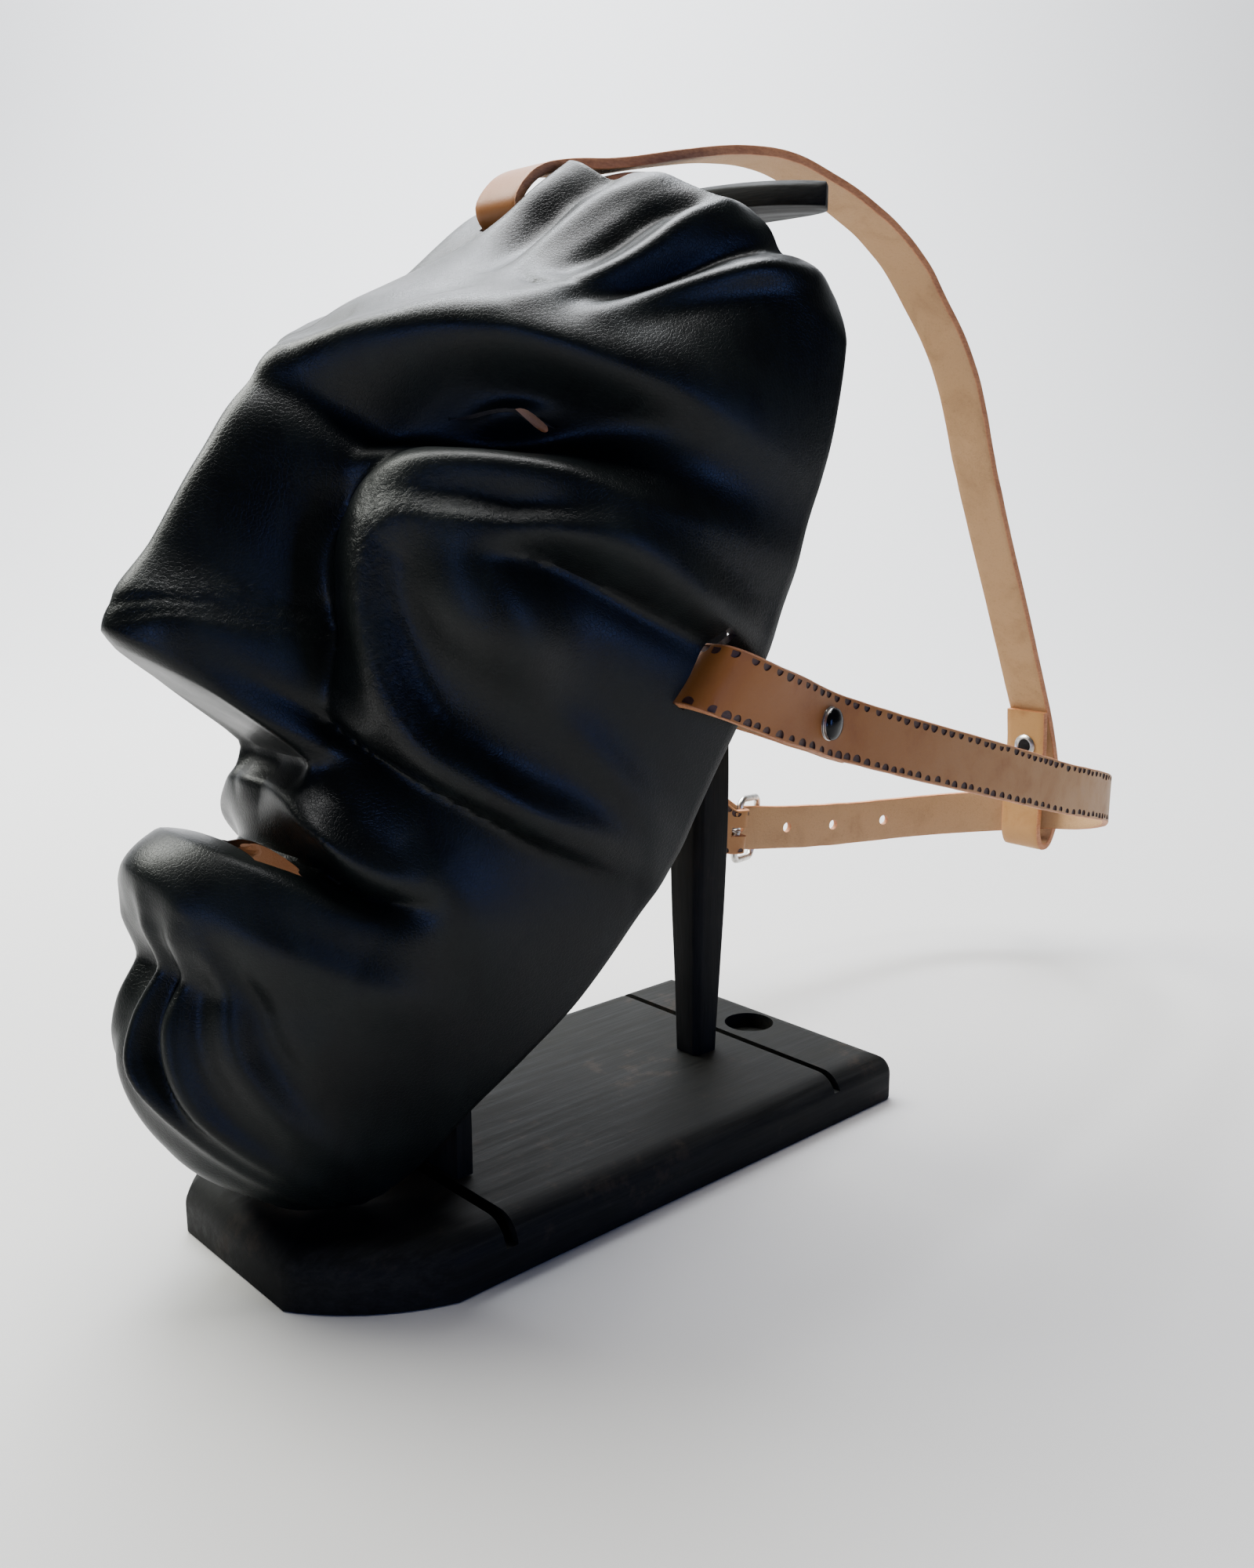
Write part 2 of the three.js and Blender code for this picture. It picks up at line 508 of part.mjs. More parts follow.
// Length round the plain face from the middle line to s
function lengthTable(v) {
  const lengths = [0];
  let before = plainFace(0, v);
  for (let i = 1; i <= SECTION_STEPS; i += 1) {
    const point = plainFace(i / SECTION_STEPS, v);
    lengths.push(lengths[i - 1] + point.distanceTo(before));
    before = point;
  }
  return (s) => {
    const steps = Math.abs(s) * SECTION_STEPS;
    const i = Math.min(Math.floor(steps), SECTION_STEPS - 1);
    return Math.sign(s) * (lengths[i] + (lengths[i + 1] - lengths[i]) * (steps - i));
  };
}

// The outer face at places up and across
function faceGrid(ups, columns) {
  return ups.map((v) => {
    const lengthTo = lengthTable(v);
    return columns.map((s) => {
      const point = plainFace(s, v);
      const q = lengthTo(s);
      const relief = reliefHeight(q, point.y);
      const standing = profileHeight(q, point.y);
      return point.clone().addScaledVector(plainNormal(s, v), relief).add(new THREE.Vector3(0, 0, standing));
    });
  });
}

function gridNormals(grid) {
  const rows = grid.length;
  const columns = grid[0].length;
  return grid.map((row, r) => row.map((_, c) => {
    const sideways = grid[r][Math.min(c + 1, columns - 1)].clone().sub(grid[r][Math.max(c - 1, 0)]);
    const upwards = grid[Math.min(r + 1, rows - 1)][c].clone().sub(grid[Math.max(r - 1, 0)][c]);
    return sideways.cross(upwards).normalize();
  }));
}

// Normals averaged with their neighbours, so that the inner face of the wall stays free of knots
function calmNormals(normals, passes) {
  let calm = normals;
  for (let pass = 0; pass < passes; pass += 1) {
    const from = calm;
    calm = from.map((row, r) => row.map((_, c) => {
      const sum = new THREE.Vector3();
      for (let i = -1; i <= 1; i += 1) {
        for (let j = -1; j <= 1; j += 1) {
          const near = from[Math.min(Math.max(r + i, 0), from.length - 1)];
          sum.add(near[Math.min(Math.max(c + j, 0), near.length - 1)]);
        }
      }
      return sum.normalize();
    }));
  }
  return calm;
}

// Halfway between neighbouring values
const halfways = (values) => values.slice(1).map((value, i) => (value + values[i]) / 2);

// How far the middle of a line between two points misses a third point
const miss = (a, b, point) => a.clone().add(b).multiplyScalar(0.5).distanceTo(point);

function maskWall() {
  const ups = rowPlaces();
  const across = columnPlaces(COLUMNS);
  const front = faceGrid(ups, across);
  const middles = faceGrid(halfways(ups), halfways(across));
  const normals = calmNormals(gridNormals(front), 2);
  const back = front.map((row, r) => row.map((p, c) => p.clone().addScaledVector(normals[r][c], -WALL)));
  const rows = front.length;
  const columns = front[0].length;
  const positions = [];
  [front, back].forEach((grid) => grid.forEach((row) => row.forEach((p) => positions.push(...place(p.x, p.y, p.z)))));
  const frontAt = (r, c) => r * columns + c;
  const backAt = (r, c) => rows * columns + r * columns + c;
  const triangles = [];
  for (let r = 0; r < rows - 1; r += 1) {
    for (let c = 0; c < columns - 1; c += 1) {
      // Each square is split along the diagonal that follows the folds
      const rising = miss(front[r][c], front[r + 1][c + 1], middles[r][c]);
      const falling = miss(front[r][c + 1], front[r + 1][c], middles[r][c]);
      const corners = [[r, c], [r, c + 1], [r + 1, c + 1], [r + 1, c]];
      const [i, j, k, l] = rising <= falling ? corners : [corners[1], corners[2], corners[3], corners[0]];
      triangles.push(frontAt(...i), frontAt(...j), frontAt(...k), frontAt(...i), frontAt(...k), frontAt(...l));
      triangles.push(backAt(...i), backAt(...k), backAt(...j), backAt(...i), backAt(...l), backAt(...k));
    }
  }
  const rim = [];
  for (let c = 0; c < columns - 1; c += 1) rim.push([0, c]);
  for (let r = 0; r < rows - 1; r += 1) rim.push([r, columns - 1]);
  for (let c = columns - 1; c > 0; c -= 1) rim.push([rows - 1, c]);
  for (let r = rows - 1; r > 0; r -= 1) rim.push([r, 0]);
  rim.forEach(([r, c], i) => {
    const [nextR, nextC] = rim[(i + 1) % rim.length];
    triangles.push(frontAt(r, c), backAt(nextR, nextC), frontAt(nextR, nextC));
    triangles.push(frontAt(r, c), backAt(r, c), backAt(nextR, nextC));
  });
  return geometryOf(positions, triangles);
}

// A slot-shaped cutter that stands out of the face: a pointed lens across, from one depth to another
function lensCutter(x, t, half, height, turn, from, to) {
  const sides = 8;
  const angle = THREE.MathUtils.degToRad(turn);
  const outline = [];
  for (let i = 0; i < sides; i += 1) outline.push([-half + (2 * half * i) / sides, -1]);
  for (let i = 0; i < sides; i += 1) outline.push([half - (2 * half * i) / sides, 1]);
  const ring = (d) => outline.map(([along, edge]) => {
    const across = edge * height * (1 - (along / half) ** 2);
    return place(
      x + along * Math.cos(angle) - across * Math.sin(angle),
      t + along * Math.sin(angle) + across * Math.cos(angle),
      d,
    );
  });
  return loft([ring(from), ring(to)]);
}

// A box cutter through the brow, long across
function browSlitCutter() {
  const { x, t, half, height, from, to } = BROW_SLIT;
  const corners = [[-half, -height], [half, -height], [half, height], [-half, height]];
  return loft([from, to].map((d) => corners.map(([across, up]) => place(x + across, t + up, d))));
}

// A box cutter through the side wall, long up the face
function sideSlitCutter(side) {
  const { t, d, half, width, reach } = SIDE_SLIT;
  const middle = side * 80;
  const corners = [[-half, -width / 2], [half, -width / 2], [half, width / 2], [-half, width / 2]];
  const ring = (x) => corners.map(([up, out]) => place(x, t + up, d + out));
  return loft([ring(middle - reach / 2), ring(middle + reach / 2)]);
}

// The jaw's edge is flat where it rests on the board
function restCutter() {
  const height = 40;
  return new THREE.BoxGeometry(BOARD.width * 2, BOARD.length * 2, height)
    .translate(0, 0, BOARD.thick + GAP - height / 2);
}

function maskGeometry() {
  return cutAll(maskWall(), [
    restCutter(),
    lensCutter(0, MOUTH.t, MOUTH.half, MOUTH.height, 0, MOUTH.from, MOUTH.to),
    lensCutter(EYE.x, EYE.t, EYE.half, EYE.height, EYE.turn, EYE.from, EYE.to),
    lensCutter(-EYE.x, EYE.t, EYE.half, EYE.height, -EYE.turn, EYE.from, EYE.to),
    sideSlitCutter(1),
    sideSlitCutter(-1),
    browSlitCutter(),
  ]);
}

// The stand

function boardOutline() {
  const { width, length, clipStart, clipHalf, clipBulge } = BOARD;
  const half = width / 2;
  const front = -length / 2;
  const back = length / 2;
  const clip = [];
  const steps = 4;
  for (let i = 0; i <= steps; i += 1) {
    const u = i / steps;
    const bulge = clipBulge * 4 * u * (1 - u);
    clip.push([clipHalf + (half - clipHalf) * u + bulge * 0.8, front + (-clipStart - front) * u - bulge * 0.6]);
  }
  const near = [...clip, [half, back]];
  const far = near.map(([x, y]) => [-x, y]).reverse();
  return [...near, ...far];
}

// The board: its outline, with the top edge rounded over
function boardGeometry() {
  const outline = boardOutline();
  const { thick, topRound } = BOARD;
  const corners = outline.map((p) => new THREE.Vector2(...p));
  const inwardOf = (from, to) => new THREE.Vector2(from.y - to.y, to.x - from.x).normalize();
  const ring = (inset, z) => corners.map((corner, i) => {
    const before = inwardOf(corners[(i + corners.length - 1) % corners.length], corner);
    const after = inwardOf(corner, corners[(i + 1) % corners.length]);
    const mitre = before.clone().add(after).multiplyScalar(1 / (1 + before.dot(after)));
    return [corner.x + mitre.x * inset, corner.y + mitre.y * inset, z];
  });
  const rings = [ring(0, 0)];
  const steps = 4;
  for (let i = 0; i <= steps; i += 1) {
    const angle = (i / steps) * (Math.PI / 2);
    rings.push(ring(topRound * (1 - Math.cos(angle)), thick - topRound + topRound * Math.sin(angle)));
  }
  const cuts = [FRONT_SAW_CUT, REAR_SAW_CUT].map(({ y, width, depth }) => (
    new THREE.BoxGeometry(BOARD.width * 2, width, depth * 2).translate(0, y, thick)
  ));
  const recess = new THREE.CylinderGeometry(RECESS.radius, RECESS.radius, RECESS.depth * 2, 24)
    .rotateX(Math.PI / 2).translate(RECESS.x, RECESS.y, thick);
  return cutAll(loft(rings), [...cuts, recess]);
}

// The post: a whittled square bar with its corners taken off, thickest at knee height
function postGeometry() {
  const { x, y, footSize, swellSize, swellZ, neckSize, topZ } = POST;
  const sizeAt = curveOf([[BOARD.thick, footSize], [swellZ, swellSize], [swellZ * 1.7, neckSize], [topZ, neckSize]]);
  const levels = [BOARD.thick + GAP, 34, 52, 74, 96, swellZ, 146, 200, 256, topZ];
  const chamfer = 0.16;
  const rings = levels.map((z) => {
    const half = sizeAt(z) / 2;
    const cut = half * (1 - 2 * chamfer);
    return [
      [-cut, -half], [cut, -half], [half, -cut], [half, cut],
      [cut, half], [-cut, half], [-half, cut], [-half, -cut],
    ].map(([px, py]) => [x + px, y + py, z]);
  });
  return loft(rings);
}

// The crosspiece on the post: nearly straight in front, bowed behind, with obliquely cut ends
function armGeometry() {
  const { x, frontY, frontHalf, rearHalf, depth, tipBack, taper, lowZ, lowDrop, topZ, topDrop, corner } = ARM;
  const steps = 14;
  const rings = [];
  for (let i = 0; i <= steps; i += 1) {
    const u = (2 * i) / steps - 1;
    const front = frontY + tipBack * u ** 4;
    const rear = frontY + depth * Math.sqrt(1 - (taper * u) ** 2);
    const low = lowZ - lowDrop * u * u;
    const top = topZ - topDrop * u * u;
    const frontX = x + u * frontHalf;
    const rearX = x + u * rearHalf;
    const cornerX = ((frontX - rearX) * corner) / (rear - front);
    rings.push([
      [frontX, front, low],
      [rearX, rear, low],
      [rearX, rear, top - corner],
      [rearX + cornerX, rear - corner, top],
      [frontX - cornerX, front + corner, top],
      [frontX, front, top - corner],
    ]);
  }
  return loft(rings);
}

// The upright under the jaw, with its top corners rounded off
function chinRestGeometry() {
  const { y, halfWidth, thick, height } = CHIN_REST;
  const corner = 14;
  const shape = new THREE.Shape();
  shape.moveTo(-halfWidth, 0);
  shape.lineTo(halfWidth, 0);
  shape.lineTo(halfWidth, height - corner);
  shape.absarc(halfWidth - corner, height - corner, corner, 0, Math.PI / 2);
  shape.absarc(corner - halfWidth, height - corner, corner, Math.PI / 2, Math.PI);
  shape.lineTo(-halfWidth, 0);
  return new THREE.ExtrudeGeometry(shape, { depth: thick, bevelEnabled: false, curveSegments: 5 })
    .rotateX(Math.PI / 2).translate(0, y + thick / 2, BOARD.thick + GAP);
}

// Straps and fittings

// The width of a side strap lies along its slit in the slanting wall, and turns upright behind it
function sideWidth(point) {
  const free = THREE.MathUtils.smoothstep(point.y, 4, 45);
  const turn = LEAN + (Math.PI / 2 - LEAN) * free;
  return new THREE.Vector3(Math.sign(point.x) * WALL_SLANT * (1 - free), Math.cos(turn), Math.sin(turn));
}

// The top strap's width lies across the head
const topWidth = () => new THREE.Vector3(1, 0, 0);

// Frame of the head strap's far part at a place y
function farPartFrame(y) {
  return frameWhere(HEAD_ROUTE, sideWidth, y, (p) => (p.x < 0 ? p.y : Infinity));
}

function headStrapGeometry() {
  const holes = HOLE_PLACES.map((y) => {
    const { point, out } = farPartFrame(y);
    return new THREE.CylinderGeometry(HOLE_RADIUS, HOLE_RADIUS, 12, 12)
      .applyQuaternion(new THREE.Quaternion().setFromUnitVectors(new THREE.Vector3(0, 1, 0), out))
      .translate(point.x, point.y, point.z);
  });
  return cutAll(ribbon(HEAD_ROUTE, STRAP_STEP, sideWidth), holes);
}

// The buckle's own axes on the punched strap: rearwards, up, outwards, its middle and its front bar
function buckleAxes() {
  const { point, way, across } = farPartFrame(HOLE_PLACES[0]);
  const rear = way.clone().negate();
  const outward = across.clone().cross(rear);
  const { ahead, halfLength, frontIn, rearOut } = BUCKLE;
  const tilt = Math.asin((frontIn + rearOut) / (2 * halfLength));
  const along = rear.clone().multiplyScalar(Math.cos(tilt)).addScaledVector(outward, Math.sin(tilt));
  const middle = point.clone().addScaledVector(rear, ahead).addScaledVector(outward, (rearOut - frontIn) / 2);
  const frontBar = middle.clone().addScaledVector(along, -halfLength);
  return { hole: point, rear, outward, up: across, along, middle, frontBar };
}

// Round the front bar, at an angle from the outward side over the rear one
function roundBar(axes, radius, degrees) {
  const angle = THREE.MathUtils.degToRad(degrees);
  return axes.frontBar.clone()
    .addScaledVector(axes.outward, radius * Math.cos(angle))
    .addScaledVector(axes.rear, radius * Math.sin(angle));
}

// The short strap comes from the far slit, is looped round the buckle's front bar and doubled back
function buckleStrapGeometry() {
  const axes = buckleAxes();
  const radius = BUCKLE.wire + GAP + STRAP.thick / 2;
  const loop = [0, 30, 60, 90, 120, 150, 180].map((degrees) => roundBar(axes, radius, degrees));
  const tail = [6, 13, BUCKLE_TAIL].map((back, i) => loop[6].clone()
    .addScaledVector(axes.rear, -back)
    .addScaledVector(axes.up, back * 0.22 * i));
  const route = [...BUCKLE_ROUTE, ...[...loop, ...tail].map((p) => p.toArray())];
  const strap = ribbon(route, STRAP_STEP, (p) => (p.y > 150 ? axes.up.clone() : sideWidth(p)));
  const slot = new THREE.BoxGeometry(13, 13, 4)
    .applyMatrix4(new THREE.Matrix4().makeBasis(axes.rear, axes.outward, axes.up))
    .translate(axes.frontBar.x, axes.frontBar.y, axes.frontBar.z);
  return cutAll(strap, [slot]);
}

// A round rod through points in one plane, whose normal is given
function rod(points, radius, normal, sides) {
  const rings = points.map((point, i) => {
    const before = points[Math.max(i - 1, 0)];
    const after = points[Math.min(i + 1, points.length - 1)];
    const side = normal.clone().cross(after.clone().sub(before)).normalize();
    return Array.from({ length: sides }, (_, k) => {
      const angle = (k / sides) * Math.PI * 2;
      return point.clone()
        .addScaledVector(side, radius * Math.cos(angle))
        .addScaledVector(normal, radius * Math.sin(angle))
        .toArray();
    });
  });
  return loft(rings);
}

// The prong curls round the front bar and lies through the hole, over the rear bar
function prongGeometry() {
  const axes = buckleAxes();
  const reach = BUCKLE.wire + GAP + PRONG_RADIUS;
  const curl = [-170, -130, -90, -50, -10, 25, 50].map((degrees) => roundBar(axes, reach, degrees));
  const rest = PRONG_POINTS.map(([along, out]) => axes.hole.clone()
    .addScaledVector(axes.rear, along)
    .addScaledVector(axes.outward, out));
  return rod([...curl, ...rest], PRONG_RADIUS, axes.up, 6);
}

// A rounded rectangle of wire: the buckle's frame, standing in its own plane
function buckleFrameGeometry() {
  const { halfLength, halfHeight, corner, wire } = BUCKLE;
  const points = [];
  const arcs = [[1, 1, 0], [-1, 1, 1], [-1, -1, 2], [1, -1, 3]];
  arcs.forEach(([sy, sz, quarter]) => {
    for (let i = 0; i <= 3; i += 1) {
      const angle = (quarter + i / 3) * (Math.PI / 2);
      points.push([
        sy * (halfLength - corner) + corner * Math.cos(angle),
        sz * (halfHeight - corner) + corner * Math.sin(angle),
      ]);
    }
  });
  const ring = points.map(([y, z], i) => {
    const [ay, az] = points[(i + points.length - 1) % points.length];
    const [by, bz] = points[(i + 1) % points.length];
    const out = new THREE.Vector2(bz - az, ay - by).normalize();
    return { y, z, out };
  });
  const sides = 8;
  const positions = [];
  const triangles = [];
  ring.forEach(({ y, z, out }, i) => {
    for (let k = 0; k < sides; k += 1) {
      const angle = (k / sides) * Math.PI * 2;
      const reach = wire * Math.cos(angle);
      positions.push(wire * Math.sin(angle), y + out.x * reach, z + out.y * reach);
      const next = ((i + 1) % ring.length) * sides;
      const a = i * sides + k;
      const b = i * sides + ((k + 1) % sides);
      const c = next + ((k + 1) % sides);
      const d = next + k;
      triangles.push(a, c, b, a, d, c);
    }
  });
  return geometryOf(positions, triangles);
}

// The near snap's domed cap on its ring, and the flat ring of the others
function snapGeometry(domed) {
  const { radius, ring, base, sides } = SNAP;
  const dome = domed ? SNAP.dome : base + 0.4;
  const profile = [[0, 0], [ring, 0], [ring, base * 0.6], [ring - 0.5, base], [radius, base]];
  const steps = domed ? 4 : 2;
  for (let i = 1; i <= steps; i += 1) {
    const angle = (i / steps) * (Math.PI / 2);
    profile.push([i === steps ? 0 : radius * Math.cos(angle), base + (dome - base) * Math.sin(angle)]);
  }
  const points = profile.map(([r, h]) => new THREE.Vector2(r, h));
  return new THREE.LatheGeometry(points, sides);
}

// Assembly

const part = new THREE.Group();

function add(name, geometry, colour, parent = part) {
  const mesh = new THREE.Mesh(geometry, new THREE.MeshStandardMaterial(colour));
  mesh.name = name;
  parent.add(mesh);
  return mesh;
}

const stand = new THREE.Group();
part.add(stand);
add('base_board', boardGeometry(), COLOURS.blackWood, stand);
add('rear_post', postGeometry(), COLOURS.blackWood, stand);
add('top_crosspiece', armGeometry(), COLOURS.blackWood, stand);
add('chin_rest', chinRestGeometry(), COLOURS.blackWood, stand);

add('mask', maskGeometry(), COLOURS.blackLeather);

const straps = new THREE.Group();
part.add(straps);
add('head_strap', headStrapGeometry(), COLOURS.tanLeather, straps);
add('top_strap', ribbon(TOP_ROUTE, STRAP_STEP, topWidth, TOP_THICK), COLOURS.tanLeather, straps);
add('buckle_strap', buckleStrapGeometry(), COLOURS.tanLeather, straps);

const { along: buckleAlong, up: buckleUp, middle: buckleMiddle } = buckleAxes();
const buckleTurn = new THREE.Matrix4()
  .makeBasis(buckleAlong.clone().cross(buckleUp), buckleAlong, buckleUp);
const frame = add('buckle_frame', buckleFrameGeometry(), COLOURS.silver, straps);
frame.quaternion.setFromRotationMatrix(buckleTurn);
frame.position.copy(buckleMiddle);
add('buckle_prong', prongGeometry(), COLOURS.silver, straps);

// A snap standing on a strap's face, on the side nearer to the given direction
function addSnap(name, colour, frameAt, towards, domed, thick = STRAP.thick) {
  const { point, out } = frameAt;
  const normal = out.clone().multiplyScalar(Math.sign(out.dot(towards)));
  const snap = add(name, snapGeometry(domed), colour, straps);
  snap.quaternion.setFromUnitVectors(new THREE.Vector3(0, 1, 0), normal);
  snap.position.copy(point).addScaledVector(normal, thick / 2 + SNAP.lift);
}

const outerNear = frameWhere(HEAD_ROUTE, sideWidth, NEAR_SNAP_Y, (p) => (p.x > 79 ? p.y : Infinity));
const outerFar = frameWhere(BUCKLE_ROUTE, sideWidth, FAR_SNAP_Y, (p) => (p.x < -79 ? p.y : Infinity));
const rearTail = frameWhere(TOP_ROUTE, topWidth, REAR_SNAP_Z, (p) => (p.y > 301 && p.y < 306 ? p.z : Infinity));
addSnap('near_snap', COLOURS.blackCap, outerNear, new THREE.Vector3(1, 0, 0), true);
addSnap('far_snap', COLOURS.blackCap, outerFar, new THREE.Vector3(-1, 0, 0), true);
addSnap('rear_snap', COLOURS.silver, rearTail, new THREE.Vector3(0, -1, 0), false, TOP_THICK);

export default part;
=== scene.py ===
"""Looks of a moulded black leather carnival mask with its straps, leaning on its wooden stand.

The sizes are in millimetres and become metres when a mesh is made.
"""
from __future__ import annotations

import logging
import math
from dataclasses import dataclass
from enum import IntEnum
from typing import Any, Callable, Mapping, Sequence, Union

import bpy
import numpy as np
from mathutils import Matrix, Vector


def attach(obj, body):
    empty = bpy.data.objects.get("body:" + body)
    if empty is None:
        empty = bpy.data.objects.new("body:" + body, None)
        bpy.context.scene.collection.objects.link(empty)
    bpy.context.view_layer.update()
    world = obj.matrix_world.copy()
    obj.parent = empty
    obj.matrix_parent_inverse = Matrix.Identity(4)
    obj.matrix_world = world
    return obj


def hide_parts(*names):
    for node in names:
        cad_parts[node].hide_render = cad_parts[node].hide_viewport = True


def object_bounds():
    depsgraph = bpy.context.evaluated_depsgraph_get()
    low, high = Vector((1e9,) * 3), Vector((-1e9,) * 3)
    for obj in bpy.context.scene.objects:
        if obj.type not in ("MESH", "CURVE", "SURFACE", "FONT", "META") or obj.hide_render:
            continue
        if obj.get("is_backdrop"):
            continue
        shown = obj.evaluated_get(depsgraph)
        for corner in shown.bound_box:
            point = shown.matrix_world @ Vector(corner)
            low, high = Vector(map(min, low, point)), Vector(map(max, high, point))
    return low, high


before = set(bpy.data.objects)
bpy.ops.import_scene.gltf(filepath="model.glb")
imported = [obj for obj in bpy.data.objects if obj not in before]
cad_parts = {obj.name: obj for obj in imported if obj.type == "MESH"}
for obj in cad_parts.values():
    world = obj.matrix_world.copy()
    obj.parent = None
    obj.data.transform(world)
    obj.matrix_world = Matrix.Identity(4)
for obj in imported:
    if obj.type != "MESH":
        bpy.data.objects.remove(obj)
CAD_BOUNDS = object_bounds()

LOG = logging.getLogger("mask_scene")
MM = 0.001
GAP = 0.3
NOISE_KNOTS = 64
Rows = Sequence[Sequence[float]]
Number = Union[float, "Signal"]


# Numbers and curves


class SmoothCurve:
    """A smooth curve through values that never swings past them."""

    def __init__(self, places: Sequence[float], values: Sequence[float]) -> None:
        """Keeps the curve's points and their tangents.

        Args:
            places: Places of the points, rising.
            values: Values at the places.
        """
        self.places = np.asarray(places, float)
        self.values = np.asarray(values, float)
        slopes = np.diff(self.values) / np.diff(self.places)
        product = slopes[:-1] * slopes[1:]
        total = np.where(product > 0, slopes[:-1] + slopes[1:], 1)
        middle = np.where(product > 0, 2 * product / total, 0)
        self.tangents = np.concatenate([slopes[:1], middle, slopes[-1:]])

    def __call__(self, place: np.ndarray) -> np.ndarray:
        """Values at places.

        Args:
            place: Places, held within the curve's ends.

        Returns:
            The values there.
        """
        at = np.clip(place, self.places[0], self.places[-1])
        i = np.clip(np.searchsorted(self.places, at, side="left") - 1, 0, len(self.places) - 2)
        span = self.places[i + 1] - self.places[i]
        u = (at - self.places[i]) / span
        low, high = self.values[i], self.values[i + 1]
        start, end = self.tangents[i] * span, self.tangents[i + 1] * span
        return (low + u * start + u * u * (3 * (high - low) - 2 * start - end)
                + u ** 3 * (2 * (low - high) + start + end))


def curve_of(pairs: Rows) -> SmoothCurve:
    """The smooth curve through pairs of place and value."""
    return SmoothCurve([pair[0] for pair in pairs], [pair[1] for pair in pairs])


def lengths_along(points: np.ndarray) -> np.ndarray:
    """The length of the way from the first point to each point."""
    return np.concatenate([[0], np.cumsum(np.linalg.norm(np.diff(points, axis=0), axis=1))])


def smooth_rows(rows: Rows, steps: int, spacing_columns: int) -> np.ndarray:
    """Rows set evenly along the smooth curve through some rows.

    Args:
        rows: Rows of numbers.
        steps: How many spans to make.
        spacing_columns: How many first columns the distances are measured in.

    Returns:
        steps + 1 rows.
    """
    table = np.asarray(rows, float)
    along = lengths_along(table[:, :spacing_columns])
    places = np.linspace(0, along[-1], steps + 1)
    return np.stack([SmoothCurve(along, table[:, c])(places) for c in range(table.shape[1])], axis=1)


def smoothstep(value: np.ndarray, low: float, high: float) -> np.ndarray:
    """A smooth step from 0 at low to 1 at high."""
    u = np.clip((np.asarray(value, float) - low) / (high - low), 0, 1)
    return u * u * (3 - 2 * u)


def unit(vectors: np.ndarray) -> np.ndarray:
    """Vectors made one long."""
    return vectors / np.maximum(np.linalg.norm(vectors, axis=-1, keepdims=True), 1e-12)


def blurred(grid: np.ndarray, sigma: float) -> np.ndarray:
    """A grid of numbers or vectors averaged over its neighbours.

    Args:
        grid: Rows, columns and perhaps components.
        sigma: Reach of the average, in cells.

    Returns:
        The averaged grid.
    """
    reach = int(math.ceil(sigma * 3))
    weights = np.exp(-0.5 * (np.arange(-reach, reach + 1) / sigma) ** 2)
    weights /= weights.sum()
    for axis in (0, 1):
        pads = [(reach, reach) if a == axis else (0, 0) for a in range(grid.ndim)]
        padded = np.pad(grid, pads, mode="edge")
        size = grid.shape[axis]
        grid = sum(w * np.take(padded, range(k, k + size), axis=axis) for k, w in enumerate(weights))
    return grid


def value_noise(x: np.ndarray, y: np.ndarray, seed: int) -> np.ndarray:
    """Smooth noise over a plane, one knot to a unit.

    Args:
        x: First coordinates.
        y: Second coordinates.
        seed: Which noise.

    Returns:
        Values from -1 to 1.
    """
    knots = np.random.default_rng(seed).uniform(-1, 1, (NOISE_KNOTS, NOISE_KNOTS))
    ix, iy = np.floor(x).astype(int), np.floor(y).astype(int)
    u, v = smoothstep(x - ix, 0, 1), smoothstep(y - iy, 0, 1)
    corner = lambda a, b: knots[(ix + a) % NOISE_KNOTS, (iy + b) % NOISE_KNOTS]
    low = corner(0, 0) * (1 - u) + corner(1, 0) * u
    high = corner(0, 1) * (1 - u) + corner(1, 1) * u
    return low * (1 - v) + high * v


# Meshes


@dataclass
class Shape:
    """Points in millimetres and faces, with a finish number and numbers of their own."""

    points: np.ndarray
    faces: list[Sequence[int]]
    finish: Sequence[int] | None = None
    marks: Mapping[str, np.ndarray] | None = None


def loft(rings: np.ndarray, closed: bool = False, sides: Sequence[int] | None = None,
         cap_finish: int = 0) -> Shape:
    """A solid through rings of equally many points.

    Args:
        rings: Rings, points and coordinates.
        closed: Whether the last ring joins the first one. If not, both ends are capped.
        sides: A finish number for each side of a ring.
        cap_finish: The finish number of the caps.

    Returns:
        The shape.
    """
    count, size = rings.shape[:2]
    faces: list[Sequence[int]] = []
    finish: list[int] = []
    for r in range(count if closed else count - 1):
        after = (r + 1) % count
        for i in range(size):
            j = (i + 1) % size
            faces.append((r * size + i, r * size + j, after * size + j, after * size + i))
            finish.append(sides[i] if sides is not None else 0)
    if not closed:
        faces.append(list(range(size))[::-1])
        faces.append([(count - 1) * size + i for i in range(size)])
        finish += [cap_finish, cap_finish]
    return Shape(rings.reshape(-1, 3), faces, finish)


def plain_box(low: Sequence[float], high: Sequence[float], finish: int = 0) -> Shape:
    """A box between two corners."""
    corners = [(low[0], low[1]), (high[0], low[1]), (high[0], high[1]), (low[0], high[1])]
    rings = np.array([[(x, y, z) for x, y in corners] for z in (low[2], high[2])], float)
    return loft(rings, sides=[finish] * 4, cap_finish=finish)


